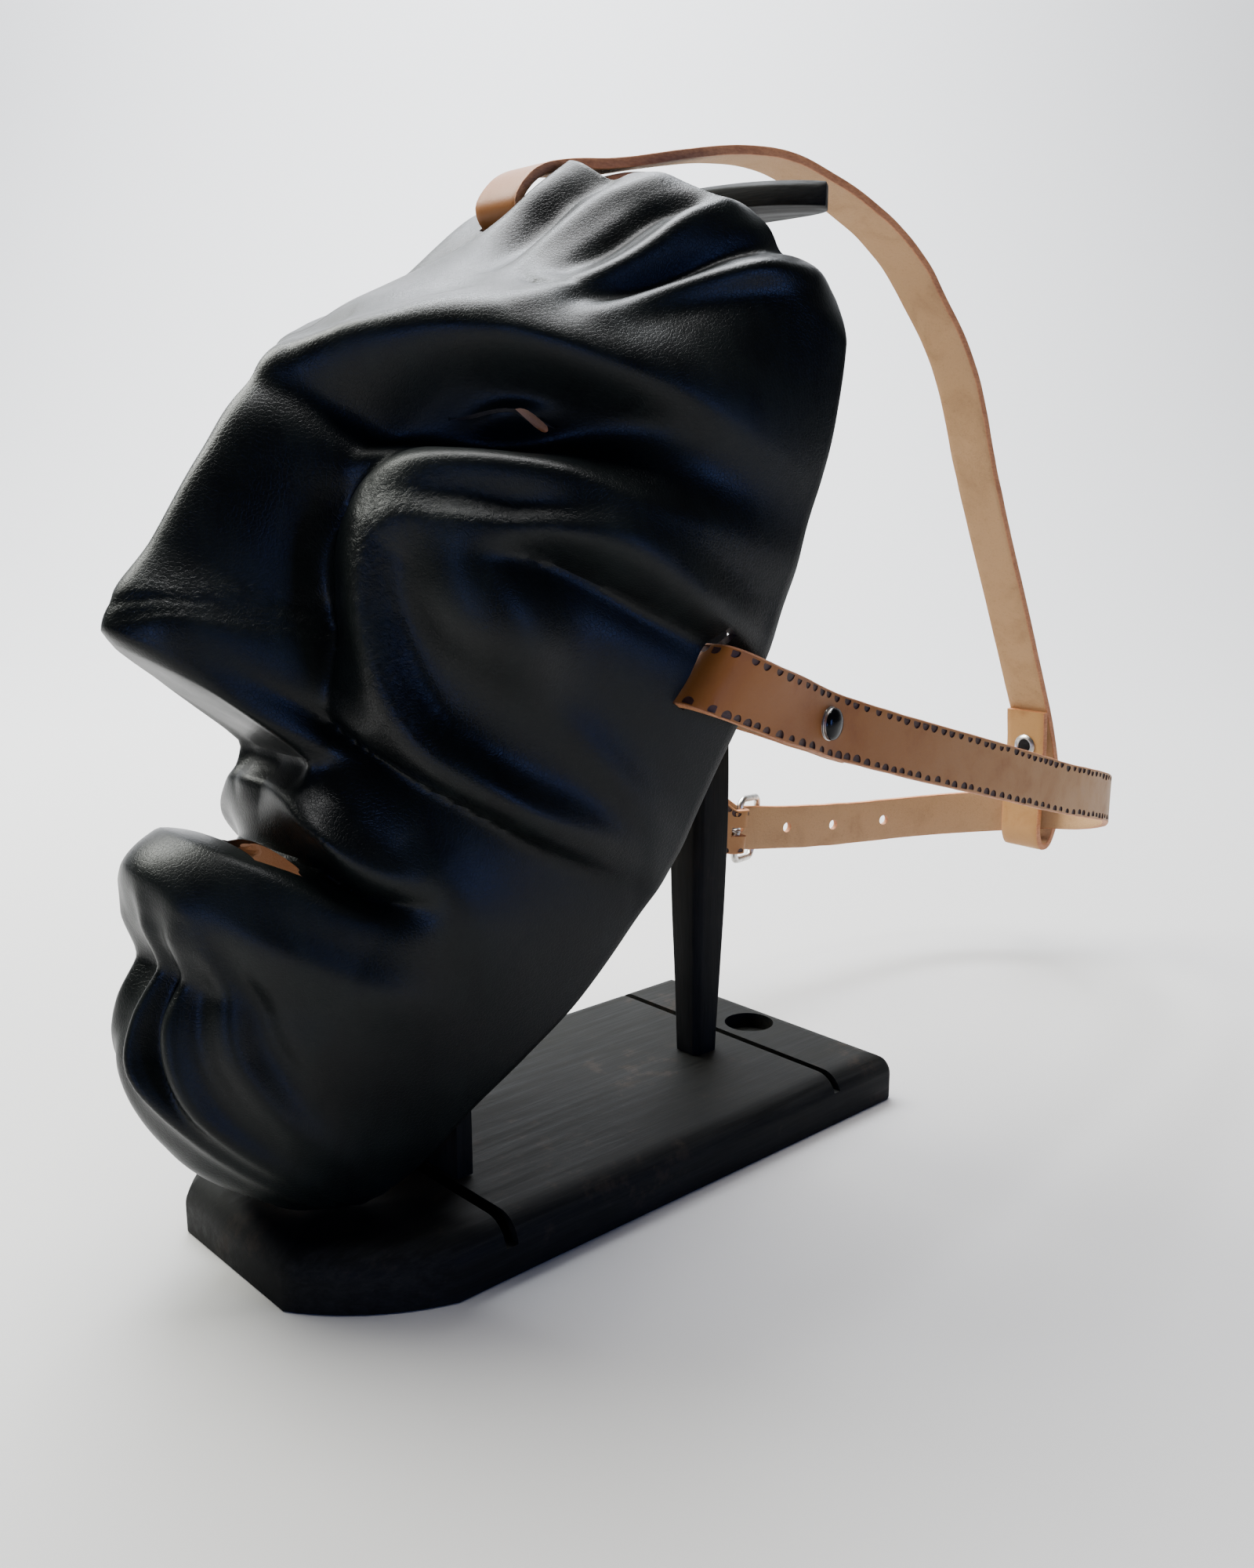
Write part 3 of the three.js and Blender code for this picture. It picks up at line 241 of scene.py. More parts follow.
def make_object(name: str, shape: Shape,
                materials: Sequence[bpy.types.Material]) -> bpy.types.Object:
    """A Blender object at the origin from a shape.

    Args:
        name: The object's name.
        shape: The shape, in millimetres.
        materials: Its finishes, in the order of the finish numbers.

    Returns:
        The object, in metres.
    """
    mesh = bpy.data.meshes.new(name)
    points = (np.asarray(shape.points) * MM).tolist()
    mesh.from_pydata(points, [], [list(map(int, face)) for face in shape.faces])
    for material in materials:
        mesh.materials.append(material)
    if shape.finish is not None:
        mesh.polygons.foreach_set("material_index", np.asarray(shape.finish, np.int32))
    for mark, values in (shape.marks or {}).items():
        kind = "FLOAT" if values.ndim == 1 else "FLOAT_VECTOR"
        attribute = mesh.attributes.new(mark, kind, "POINT")
        field = "value" if kind == "FLOAT" else "vector"
        attribute.data.foreach_set(field, np.asarray(values, np.float32).ravel())
    mesh.update()
    piece = bpy.data.objects.new(name, mesh)
    bpy.context.scene.collection.objects.link(piece)
    return piece


def settle(piece: bpy.types.Object) -> None:
    """Turns an object's modifiers into its own mesh."""
    bpy.context.view_layer.update()
    graph = bpy.context.evaluated_depsgraph_get()
    mesh = bpy.data.meshes.new_from_object(piece.evaluated_get(graph), depsgraph=graph)
    old = piece.data
    piece.modifiers.clear()
    piece.data = mesh
    bpy.data.meshes.remove(old)
    mesh.name = piece.name


def cut(piece: bpy.types.Object, cutters: Sequence[bpy.types.Object]) -> None:
    """Takes cutters out of a piece, and removes them.

    Args:
        piece: The piece.
        cutters: Closed meshes with the piece's own materials.
    """
    for cutter in cutters:
        modifier = piece.modifiers.new("cut", "BOOLEAN")
        modifier.operation = "DIFFERENCE"
        modifier.solver = "MANIFOLD"
        modifier.object = cutter
    settle(piece)
    for cutter in cutters:
        bpy.data.objects.remove(cutter)


def shade(piece: bpy.types.Object, degrees: float = 35) -> None:
    """Smooth shading, with edges sharper than an angle kept crisp."""
    piece.data.shade_smooth()
    piece.data.set_sharp_from_angle(angle=math.radians(degrees))


# Shader maths


class Signal:
    """An output socket. Arithmetic on it adds the Math nodes."""

    def __init__(self, graph: "NodeGraph", socket: bpy.types.NodeSocket) -> None:
        """Keeps the socket and the graph it is in."""
        self.graph = graph
        self.socket = socket

    def _math(self, operation: str, first: Number, second: Number) -> "Signal":
        """One Math node on two values."""
        return self.graph.out("ShaderNodeMath", {"operation": operation}, {0: first, 1: second})

    def __add__(self, other: Number) -> "Signal":
        """Sum."""
        return self._math("ADD", self, other)

    def __radd__(self, other: Number) -> "Signal":
        """Reflected sum."""
        return self._math("ADD", other, self)

    def __mul__(self, other: Number) -> "Signal":
        """Product."""
        return self._math("MULTIPLY", self, other)

    def __rmul__(self, other: Number) -> "Signal":
        """Reflected product."""
        return self._math("MULTIPLY", other, self)

    def span(self, low: float, high: float, to_low: float = 0.0, to_high: float = 1.0) -> "Signal":
        """The value carried smoothly from one range to another, and held there."""
        return self.graph.out("ShaderNodeMapRange", {"interpolation_type": "SMOOTHSTEP"},
                              {"Value": self, 1: low, 2: high, 3: to_low, 4: to_high})


class NodeGraph:
    """Builds the nodes of one tree."""

    def __init__(self, tree: bpy.types.NodeTree) -> None:
        """Starts with an empty tree."""
        self.tree = tree
        tree.nodes.clear()

    def node(self, kind: str, settings: Mapping[str, Any] | None = None,
             sockets: Mapping[Any, Any] | None = None) -> bpy.types.Node:
        """Adds one node.

        Args:
            kind: The node's type.
            settings: Its own settings.
            sockets: Values or links of its inputs, by name or number.

        Returns:
            The node.
        """
        node = self.tree.nodes.new(kind)
        for key, value in (settings or {}).items():
            setattr(node, key, value)
        for key, value in (sockets or {}).items():
            if isinstance(value, Signal):
                self.tree.links.new(value.socket, node.inputs[key])
            else:
                node.inputs[key].default_value = value
        return node

    def out(self, kind: str, settings: Mapping[str, Any] | None = None,
            sockets: Mapping[Any, Any] | None = None, output: Any = 0) -> Signal:
        """Adds one node and gives one of its outputs."""
        return Signal(self, self.node(kind, settings, sockets).outputs[output])

    def place(self, stretch: Sequence[float] = (1, 1, 1)) -> Signal:
        """Object coordinates in metres, stretched along the axes."""
        coordinates = self.out("ShaderNodeTexCoord", output="Object")
        return self.out("ShaderNodeVectorMath", {"operation": "MULTIPLY"},
                        {0: coordinates, 1: tuple(stretch)})

    def noise(self, scale: float, detail: float = 3.0, rough: float = 0.5, place: Signal | None = None,
              warp: float = 0.0) -> Signal:
        """Noise from 0 to 1, with about scale bumps to a metre."""
        return self.out("ShaderNodeTexNoise", None,
                        {"Vector": place or self.place(), "Scale": scale, "Detail": detail,
                         "Roughness": rough, "Distortion": warp}, "Fac")

    def mix(self, factor: Number, first: Any, second: Any) -> Signal:
        """A mix of two colours."""
        node = self.node("ShaderNodeMix", {"data_type": "RGBA"}, {"Factor": factor})
        for key, value in (("A", first), ("B", second)):
            socket = next(s for s in node.inputs if s.name == key and s.type == "RGBA")
            if isinstance(value, Signal):
                self.tree.links.new(value.socket, socket)
            else:
                socket.default_value = value
        return Signal(self, next(s for s in node.outputs if s.type == "RGBA"))

    def bump(self, height: Signal, distance_mm: float) -> Signal:
        """A bump whose full height is a distance in millimetres."""
        sockets = {"Height": height, "Distance": distance_mm * MM, "Strength": 1.0}
        return self.out("ShaderNodeBump", None, sockets)


Colour = tuple[float, float, float, float]


def shade_of(red: float, green: float, blue: float) -> Colour:
    """A linear colour from the 0 to 255 numbers that a screen shows."""
    linear = [c / 12.92 if c <= 0.04045 else ((c + 0.055) / 1.055) ** 2.4
              for c in (red / 255, green / 255, blue / 255)]
    return (linear[0], linear[1], linear[2], 1.0)


class Finish:
    """A finish that makes its material once."""

    title = "finish"
    _made: dict[str, bpy.types.Material] = {}

    def material(self) -> bpy.types.Material:
        """The finish's material."""
        if self.title not in Finish._made:
            material = bpy.data.materials.new(self.title)
            material.use_nodes = True
            graph = NodeGraph(material.node_tree)
            shader = graph.node("ShaderNodeBsdfPrincipled", None, self.sockets(graph))
            graph.node("ShaderNodeOutputMaterial", None, {"Surface": Signal(graph, shader.outputs[0])})
            Finish._made[self.title] = material
        return Finish._made[self.title]

    def sockets(self, graph: NodeGraph) -> dict[str, Any]:
        """Values and links of the shader's sockets."""
        raise NotImplementedError


@dataclass(frozen=True)
class BlackLeather(Finish):
    """Dyed and waxed leather: near black, softly shining, with pores and grained patches."""

    title: str = "black_leather"
    dark: Colour = shade_of(6, 8, 8)
    pale: Colour = shade_of(13, 18, 16)
    rough_low: float = 0.25
    rough_high: float = 0.4
    gloss: float = 0.17

    def sockets(self, graph: NodeGraph) -> dict[str, Any]:
        """Values and links of the shader's sockets."""
        cloud = graph.noise(22, 4, 0.55)
        smear = graph.noise(60, 3, 0.6, graph.place((1, 2.2, 0.7)), 0.6)
        grained = graph.out("ShaderNodeAttribute", {"attribute_name": "grained"}, output="Fac")
        pores = graph.out("ShaderNodeTexVoronoi", {"feature": "DISTANCE_TO_EDGE"},
                          {"Vector": graph.place(), "Scale": 900.0}, "Distance")
        fine = graph.noise(2600, 2, 0.6)
        creases = graph.noise(420, 4, 0.62, warp=1.2)
        tone = (cloud * 0.6 + smear * 0.4).span(0.35, 0.7)
        relief = pores.span(0.0, 0.12) * 0.12 + fine * 0.2 + creases * (0.26 + grained * 1.9)
        rough = cloud.span(0.3, 0.7, self.rough_low, self.rough_high) + smear * 0.06 + grained * 0.04
        return {"Base Color": graph.mix(tone, self.dark, self.pale), "Roughness": rough,
                "Normal": graph.bump(relief, 0.22), "Specular IOR Level": self.gloss}


@dataclass(frozen=True)
class TanLeather(Finish):
    """Natural leather: smooth on its grain side, or fibrous on its flesh side, with painted shade towards
    the face and painted light towards the back.
    """

    title: str = "strap_grain"
    # near and far: the painted shade towards the face and the painted light towards the back
    near: Colour = shade_of(136, 82, 32)
    far: Colour = shade_of(166, 122, 72)
    blotch: Colour = shade_of(118, 62, 28)
    fibrous: float = 0.0
    rough: float = 0.5
    gloss: float = 0.25

    def sockets(self, graph: NodeGraph) -> dict[str, Any]:
        """Values and links of the shader's sockets."""
        # Painted shade and light: the colour goes from the darker near tan to the paler far one along y
        place = graph.out("ShaderNodeSeparateXYZ", None, {0: graph.place()}, "Y")
        base = graph.mix(place.span(0.02, 0.24), self.near, self.far)
        cloud = graph.noise(55, 4, 0.6, warp=0.4)
        fine = graph.noise(900, 3, 0.65)
        fibres = graph.noise(1500, 4, 0.7, graph.place((1, 0.45, 1)), 0.8)
        tone = cloud.span(0.45, 0.85) * 0.55 + fine.span(0.5, 0.8) * 0.16 * (1 + self.fibrous)
        relief = fine * 0.5 + fibres * (0.25 + self.fibrous)
        return {"Base Color": graph.mix(tone, base, self.blotch),
                "Roughness": cloud.span(0.2, 0.8, self.rough - 0.06, self.rough + 0.08),
                "Normal": graph.bump(relief, 0.12 + 0.2 * self.fibrous),
                "Specular IOR Level": self.gloss}


@dataclass(frozen=True)
class CutEdge(Finish):
    """The cut edge of leather: layered fibres."""

    title: str = "strap_edge"
    colour: Colour = shade_of(188, 128, 80)
    dark: Colour = shade_of(148, 92, 54)
    rough: float = 0.66

    def sockets(self, graph: NodeGraph) -> dict[str, Any]:
        """Values and links of the shader's sockets."""
        fibres = graph.noise(1300, 4, 0.7, graph.place((1, 0.3, 1)))
        cloud = graph.noise(120, 3, 0.6)
        tone = (fibres * 0.6 + cloud * 0.4).span(0.35, 0.68)
        return {"Base Color": graph.mix(tone, self.colour, self.dark), "Roughness": self.rough,
                "Normal": graph.bump(fibres + cloud, 0.2)}


@dataclass(frozen=True)
class StainedWood(Finish):
    """Black stained wood with a faint grain along its length, rubbed brown in places."""

    title: str = "stained_wood"
    dark: Colour = shade_of(13, 14, 13)
    pale: Colour = shade_of(30, 30, 28)
    worn: Colour = shade_of(48, 40, 33)
    run: tuple[float, float, float] = (1, 0.05, 1)
    rough: float = 0.62
    gloss: float = 0.06

    def sockets(self, graph: NodeGraph) -> dict[str, Any]:
        """Values and links of the shader's sockets."""
        grain = graph.noise(330, 5, 0.65, graph.place(self.run), 0.4)
        streak = graph.noise(1500, 2, 0.6, graph.place(self.run))
        cloud = graph.noise(28, 3, 0.6)
        scuff = graph.noise(120, 5, 0.75)
        tone = grain.span(0.38, 0.66) * 0.6 + streak.span(0.4, 0.7) * 0.2 + cloud.span(0.4, 0.7) * 0.2
        rubbed = (cloud * scuff).span(0.32, 0.44) * 0.4
        base = graph.mix(tone, self.dark, self.pale)
        return {"Base Color": graph.mix(rubbed, base, self.worn),
                "Roughness": grain.span(0.3, 0.7, self.rough - 0.08, self.rough + 0.1),
                "Normal": graph.bump(grain * 0.7 + streak * 0.5, 0.12),
                "Specular IOR Level": self.gloss}


@dataclass(frozen=True)
class Metal(Finish):
    """Plated metal with fine wear, or black enamel."""

    title: str = "nickel"
    colour: Colour = shade_of(200, 198, 194)
    dull: Colour = shade_of(150, 146, 140)
    metallic: float = 1.0
    rough: float = 0.26
    gloss: float = 0.5

    def sockets(self, graph: NodeGraph) -> dict[str, Any]:
        """Values and links of the shader's sockets."""
        cloud = graph.noise(300, 4, 0.6)
        fine = graph.noise(2400, 2, 0.6)
        return {"Base Color": graph.mix(cloud.span(0.4, 0.7), self.colour, self.dull),
                "Metallic": self.metallic, "Specular IOR Level": self.gloss,
                "Roughness": cloud.span(0.3, 0.7, self.rough, self.rough + 0.12),
                "Normal": graph.bump(fine, 0.02)}


@dataclass(frozen=True)
class PaleFloor(Finish):
    """The plain pale floor."""

    title: str = "pale_floor"
    colour: Colour = shade_of(182, 180, 178)

    def sockets(self, graph: NodeGraph) -> dict[str, Any]:
        """Values and links of the shader's sockets."""
        return {"Base Color": self.colour, "Roughness": 0.7, "Specular IOR Level": 0.2}


BLACK = BlackLeather()
# The first two tans of INNER_TAN and FLESH are painted shade towards the face and painted light towards
# the back
INNER_TAN = TanLeather("mask_inside", shade_of(176, 134, 98), shade_of(186, 146, 110),
                       shade_of(140, 98, 68), 0.8, 0.7)
BLACK_EDGE = CutEdge("mask_edge", shade_of(22, 22, 24), shade_of(40, 34, 30), 0.6)
GRAIN = TanLeather()
FLESH = TanLeather("strap_flesh", shade_of(158, 124, 88), shade_of(178, 140, 98),
                   shade_of(128, 94, 62), 1.0, 0.8)
STRAP_EDGE = CutEdge()
STAMP = CutEdge("stamp_brown", shade_of(66, 32, 18), shade_of(42, 22, 14), 0.6)
WOOD = StainedWood()
UPRIGHT_WOOD = StainedWood("stained_wood_upright", run=(1, 1, 0.05))
CROSS_WOOD = StainedWood("stained_wood_cross", run=(0.05, 1, 1))
NICKEL = Metal()
# Black enamel of the domed caps, also the painted shade of the flat ring's hole
ENAMEL_AND_HOLE_SHADE = Metal("black_enamel_and_hole_shade", shade_of(6, 7, 9), shade_of(10, 11, 13), 0.0, 0.08, 0.16)


# The mask's form


LEAN = math.radians(55.6)
CHIN = (-111.0, 19.0)
WALL = 2.8
UP_FACE = np.array([math.cos(LEAN), math.sin(LEAN)])
OUT_FACE = np.array([-math.sin(LEAN), math.cos(LEAN)])
BOARD_THICK = 18.0


def to_part(x: np.ndarray, t: np.ndarray, d: np.ndarray) -> np.ndarray:
    """From the mask's own frame to the part's frame.

    Args:
        x: Across the face.
        t: Up the face from the chin.
        d: Out of the face.

    Returns:
        Points of the part, in the last axis.
    """
    x, t, d = np.broadcast_arrays(np.asarray(x, float), t, d)
    return np.stack([x, CHIN[0] + t * UP_FACE[0] + d * OUT_FACE[0],
                     CHIN[1] + t * UP_FACE[1] + d * OUT_FACE[1]], axis=-1)


# Cross sections from the chin to the brow: place, middle line t and d, rim x, t and d, squareness
SECTIONS = [
    [0.00, 2, 0, 16, 8, -14, 2.0],
    [0.04, 3, 20, 24, 17, -22, 2.1],
    [0.09, 9, 37, 30, 31, -27, 2.2],
    [0.15, 26, 51, 37, 50, -29, 2.3],
    [0.22, 48, 57, 47, 72, -31, 2.3],
    [0.29, 70, 60, 56, 93, -32, 2.3],
    [0.37, 97, 59, 64, 120, -32, 2.3],
    [0.45, 124, 70, 71, 145, -29, 2.3],
    [0.53, 150, 82, 77, 168, -23, 2.3],
    [0.61, 176, 96, 82, 192, -18, 2.3],
    [0.69, 203, 103, 84, 218, -12, 2.3],
    [0.77, 230, 98, 86, 246, -4, 2.25],
    [0.85, 256, 88, 87, 270, 3, 2.2],
    [0.93, 287, 76, 86, 290, 10, 2.15],
    [0.97, 304, 71, 81, 301, 16, 2.0],
    [1.00, 317, 67, 73, 308, 21, 1.85],
]

# Folds: q round the face, t up it, the width on the left and right of the way along, the height
BROW = [
    [8, 208, 12, 5, 4], [18, 213.5, 15, 5, 7.5], [27, 221, 17, 5, 9], [37, 228.5, 19, 5, 9.5],
    [49, 234, 20, 5, 10], [61, 237, 22, 5.5, 9.5], [73, 239, 22, 6, 9], [89, 243, 22, 7, 8],
    [107, 246.5, 20, 9, 6], [126, 250, 18, 11, 3.5], [148, 254, 16, 12, 1],
]
FACE_FOLDS = {
    "lower_lid": [
        [34, 188, 5, 12, 3], [42, 193, 5, 12, 5.5], [53, 198, 5, 13, 7.5], [67, 204, 5, 13, 8.5],
        [80, 208, 6, 14, 8.5], [95, 210, 7, 15, 7.5], [111, 214, 8, 14, 6], [135, 222, 9, 12, 3],
        [160, 228, 10, 10, 1],
    ],
    "bag": [
        [46, 180, 5, 8, 2.5], [60, 186, 4, 7, 4.5], [73, 190, 4, 6, 5.5], [84, 194.5, 5, 5, 6],
        [106, 200, 8, 6, 6.5], [125, 201, 9, 6, 6.5], [142, 203, 9, 7, 4], [158, 206, 9, 8, 1],
    ],
    "cheek_fold": [
        [46, 184, 7, 8, 3], [38, 174, 7, 8, 6.5], [38, 162, 7, 8, 8.5], [41, 151, 7, 9, 9.5],
        [46, 141, 7, 11, 9], [58, 133, 6, 12, 8], [83, 131, 6, 12, 6.5], [102, 133, 7, 11, 4.5],
        [125, 136, 9, 11, 2],
    ],
    "forehead_crest": [
        [63, 306, 6, 6, 4], [61, 290, 5, 5, 5.5], [58, 268, 5, 5, 5], [53, 251, 6, 6, 3],
        [48, 240, 6, 6, 1],
    ],
    "forehead_valley_inner": [
        [18, 314, 7, 7, -4], [14, 300, 5, 5, -4], [15, 284, 5, 5, -3.5], [20, 266, 6, 6, -2],
    ],
    "forehead_crest_inner": [
        [38, 310, 6, 6, 3], [32, 296, 6, 6, 3.5], [30, 280, 6, 6, 3], [28, 262, 7, 7, 1.5],
    ],
    "forehead_valley_middle": [
        [54, 306, 5, 5, -3.5], [48, 298, 4, 4, -4], [46, 284, 4, 4, -4], [44, 268, 5, 5, -2],
    ],
    "forehead_valley_outer": [
        [82, 309, 6, 6, -4], [73, 290, 4, 4, -4.5], [66, 270, 4, 4, -4], [59, 253, 5, 5, -1.5],
    ],
    "forehead_crest_outer": [
        [96, 300, 6, 6, 2], [84, 287, 5, 5, 4.5], [74, 270, 5, 5, 4], [66, 252, 6, 6, 2],
    ],
    "forehead_hollow": [
        [14, 290, 9, 9, -1], [26, 261, 9, 9, -2.5], [22, 240, 9, 9, -2.5], [8, 224, 8, 8, -2],
    ],
    "upper_lip": [
        [0, 112, 6, 8, 0], [16, 108, 6, 7, 5], [29, 102, 6, 5, 8], [39, 96, 7, 4, 6.5],
        [52, 92, 8, 4, 3],
    ],
    "mouth_line": [
        [0, 94, 5, 3, -5], [27, 93, 5, 3, -7], [40, 92, 5, 4, -8], [52, 92, 5, 4, -6],
        [60, 94, 6, 5, -2],
    ],
    "mouth_side": [[52, 110, 9, 9, 1], [60, 104, 10, 10, 3], [74, 98, 11, 11, 2.5], [90, 92, 12, 12, 1]],
}
# Creases: as the folds, but with a sharp bottom
CREASES = {
    "lid_crease": [
        [42, 186, 4, 4, -0.5], [57, 192, 4, 4, -1.2], [70, 196, 4, 4, -1.4], [84, 200, 4, 4, -0.8],
    ],
    "cheek_crease": [
        [68, 181, 3, 5, -1], [79, 186, 3, 6, -4], [95, 189.5, 3, 7, -5.5], [114, 191, 3.5, 8, -5.5],
        [135, 194, 4, 8, -4], [150, 196, 5, 8, -2],
    ],
    "nose_crease": [
        [42, 204, 4, 3, -1], [32, 194, 4, 4, -5], [26, 187, 4, 5, -6.5], [20, 175, 4, 5, -7],
        [18.5, 163, 4, 5, -7], [20, 153, 4, 5, -6.5], [23, 144, 4, 5, -6], [24, 133, 4, 5, -5.5],
        [25, 125, 4, 4, -4],
    ],
    "smile_crease": [
        [22, 127, 3, 4, -4], [38, 124, 2.5, 6, -8], [52, 123, 2.5, 7, -8.5], [68, 123, 2.5, 8, -8],
        [86, 123, 3, 9, -6.5], [104, 124.5, 4, 9, -4.5], [122, 128, 5, 9, -2],
    ],
    "wing_crease": [
        [2, 130, 1.5, 2, -1], [14, 139, 1.5, 2, -2.2], [17.5, 148, 1.5, 2, -2.2], [21, 155, 1.5, 2, -1],
    ],
    "wing_line": [
        [4, 127, 1, 1.2, -0.6], [14.5, 135.5, 1, 1.2, -1.4], [19, 144, 1, 1.2, -1.2],
        [23, 151, 1, 1, -0.4],
    ],
    "mouth_corner": [[36, 92, 2, 3, -3], [44, 90, 2, 3, -5], [50, 91.5, 2, 4, -4], [62, 96, 3, 5, -1]],
    "under_brow": [
        [14, 206, 3, 3, -2], [26, 214, 3, 3, -3], [44, 226, 3, 3, -3], [66, 230, 3, 3, -2],
        [96, 235, 4, 4, -1],
    ],
    "forehead_line": [[34, 262, 1.5, 1.5, -0.5], [44, 257, 1.2, 1.5, -1.6], [54, 257, 1.2, 1.5, -0.6]],
}
# Folds whose mirror on the far side is a little lower
CHIN_FOLDS = {
    "crest": [
        [17, 66, 5, 4, 1], [14, 57, 4, 5, 3.5], [12.5, 48, 4, 5, 5], [14, 39, 4, 5, 5.5],
        [17, 30, 4, 5, 5.5], [21, 23, 4, 5, 5], [26, 19, 4, 5, 4], [34, 16, 4, 5, 3], [44, 15, 5, 5, 1],
    ],
    "side_crest": [
        [20, 66, 4, 6, 1], [23, 56, 4, 7, 3], [26, 47, 4, 7, 4.5], [28.5, 40, 4, 7, 4.5],
        [34, 34, 4, 7, 4], [42, 28, 5, 7, 3], [54, 24, 6, 7, 1],
    ],
    "side_valley": [[28, 60, 4, 4, -1], [32, 50, 5, 5, -2.5], [38, 43, 5, 5, -2.5], [50, 36, 6, 6, -1]],
    "jaw_crest": [[28, 67, 5, 7, 1], [42, 69, 5, 8, 2.5], [58, 70, 6, 9, 2.5], [76, 72, 8, 10, 1]],
}
# Folds that aren't mirrored
MIDDLE_FOLDS = {
    "near_crest": [
        [5, 64, 3.5, 4, 1.5], [4.5, 54, 3.5, 4, 4.5], [4, 46, 3.5, 4, 5.5], [4, 38, 3.5, 4, 5.5],
        [4.5, 30, 3.5, 4, 5.5], [7, 25, 3.5, 4, 5.5], [11, 21.5, 3.5, 4, 5], [16, 18, 3.5, 4, 4.5],
        [24, 13.5, 3.5, 4, 3], [32, 10.5, 4, 4, 1.5],
    ],
    "near_valley": [
        [9, 60, 3, 3, -1], [8, 50, 3, 3, -3], [7.5, 40, 3, 3, -4], [9, 31, 3, 3, -4],
        [13, 24, 3, 3, -4], [18, 18.5, 3, 3, -3.5], [26, 14, 3, 3, -2.5], [36, 11, 4, 4, -1],
    ],
    "far_crest": [
        [-8, 62, 4, 5, 0.5], [-10, 50, 5, 5, 0.5], [-11, 38, 5, 5, 0.4], [-9, 27, 5, 5, 2],
        [-5, 17, 5, 5, 2], [3, 9, 5, 5, 1.2], [14, 5, 5, 5, 0.6],
    ],
    "far_lip": [[-16, 108, 6, 6, -3], [-29, 102, 6, 6, -5.5], [-40, 96, 6, 6, -4], [-52, 92, 6, 6, -2]],
    "forehead_ridge": [[4, 318, 8, 3, 3.4], [4, 302, 8, 3, 4.6], [3, 288, 8, 4, 3.5], [1, 268, 8, 7, 1]],
}
# Grained patches, as folds of height 1
GRAINED = [
    [
        [38, 182, 8, 8, 0.8], [37, 172, 9, 9, 1], [39, 162, 9, 9, 1], [42, 151, 9, 9, 1],
        [47, 140, 8, 8, 0.6],
    ],
    [[48, 186, 7, 7, 0.8], [60, 191, 7, 7, 1], [73, 194, 6, 6, 0.8], [91, 194, 6, 6, 0.3]],
    [[10, 135, 7, 7, 0.7], [17, 146, 6, 6, 0.7]],
]
FAR_BROW_SHARE = 0.7
FAR_CHIN_SHARE = 0.9
FOLD_STEPS = 23


@dataclass(frozen=True)
class Swelling:
    """A round swelling or hollow of the leather."""

    q: float
    t: float
    along: float
    across: float
    height: float
    turn: float = 0.0
    flat: float = 1.0

    def height_at(self, q: np.ndarray, t: np.ndarray) -> np.ndarray:
        """Height at places round and up the face."""
        angle = math.radians(self.turn)
        a = ((q - self.q) * math.cos(angle) + (t - self.t) * math.sin(angle)) / self.along
        b = (-(q - self.q) * math.sin(angle) + (t - self.t) * math.cos(angle)) / self.across
        return self.height * np.exp(-((a * a + b * b) ** self.flat))


SWELLINGS = [
    Swelling(56, 217, 36, 11, -18, 17, 1.4),
    Swelling(22, 204, 14, 10, -6),
    Swelling(58, 222, 14, 4.5, 8, 20),
    Swelling(70, 171, 20, 15, 10, 0, 1.3),
    Swelling(105, 155, 30, 25, -3),
    Swelling(19, 118, 3, 6, 2.5),
    Swelling(112, 150, 26, 7, 2.5, -12),
]

NOSE_WIDTH = curve_of([
    [110, 22], [121, 23], [135, 24], [150, 22], [176, 20], [203, 22], [222, 34], [245, 52],
    [275, 60], [305, 60],
])
NOSE_HEIGHT = curve_of([
    [112, 0], [119, 0], [121.4, 53], [124, 53], [150, 41], [176, 27], [203, 18], [225, 13],
    [250, 8], [280, 2], [305, 0],
])
NOSE_WIDTH_SCALE = 1.08
NOSE_ROUNDNESS = 1.5
WING_HEIGHT = curve_of([[112, 0], [118, 0], [122, 10], [132, 14], [142, 6], [150, 0]])
WING_Q = 17
WING_REACH = 8
LIP_WIDTH = curve_of([[40, 36], [55, 44], [70, 52], [88, 55], [95, 50]])
LIP_HEIGHT = curve_of([
    [8, 0], [26, 7], [38, 6.5], [51.5, 4], [61, 16], [73, 25], [85, 20.5], [88.5, 12], [91, 0],
])
LIP_ROUNDNESS = 1.4
UPPER_LIP_HEIGHT = curve_of([
    [90, 0], [95, 1], [101, 0], [108, 0], [113, -4], [117, -6], [119.5, -6], [123, 0],
])
UPPER_LIP_REACH = 26
CREASE_ROUND = 0.12
CREASE_FALL = 1.25
CREASE_START = 0.433


def fold_path(rows: Rows) -> np.ndarray:
    """A fold's rows, set evenly along it."""
    return smooth_rows(rows, FOLD_STEPS, 2)


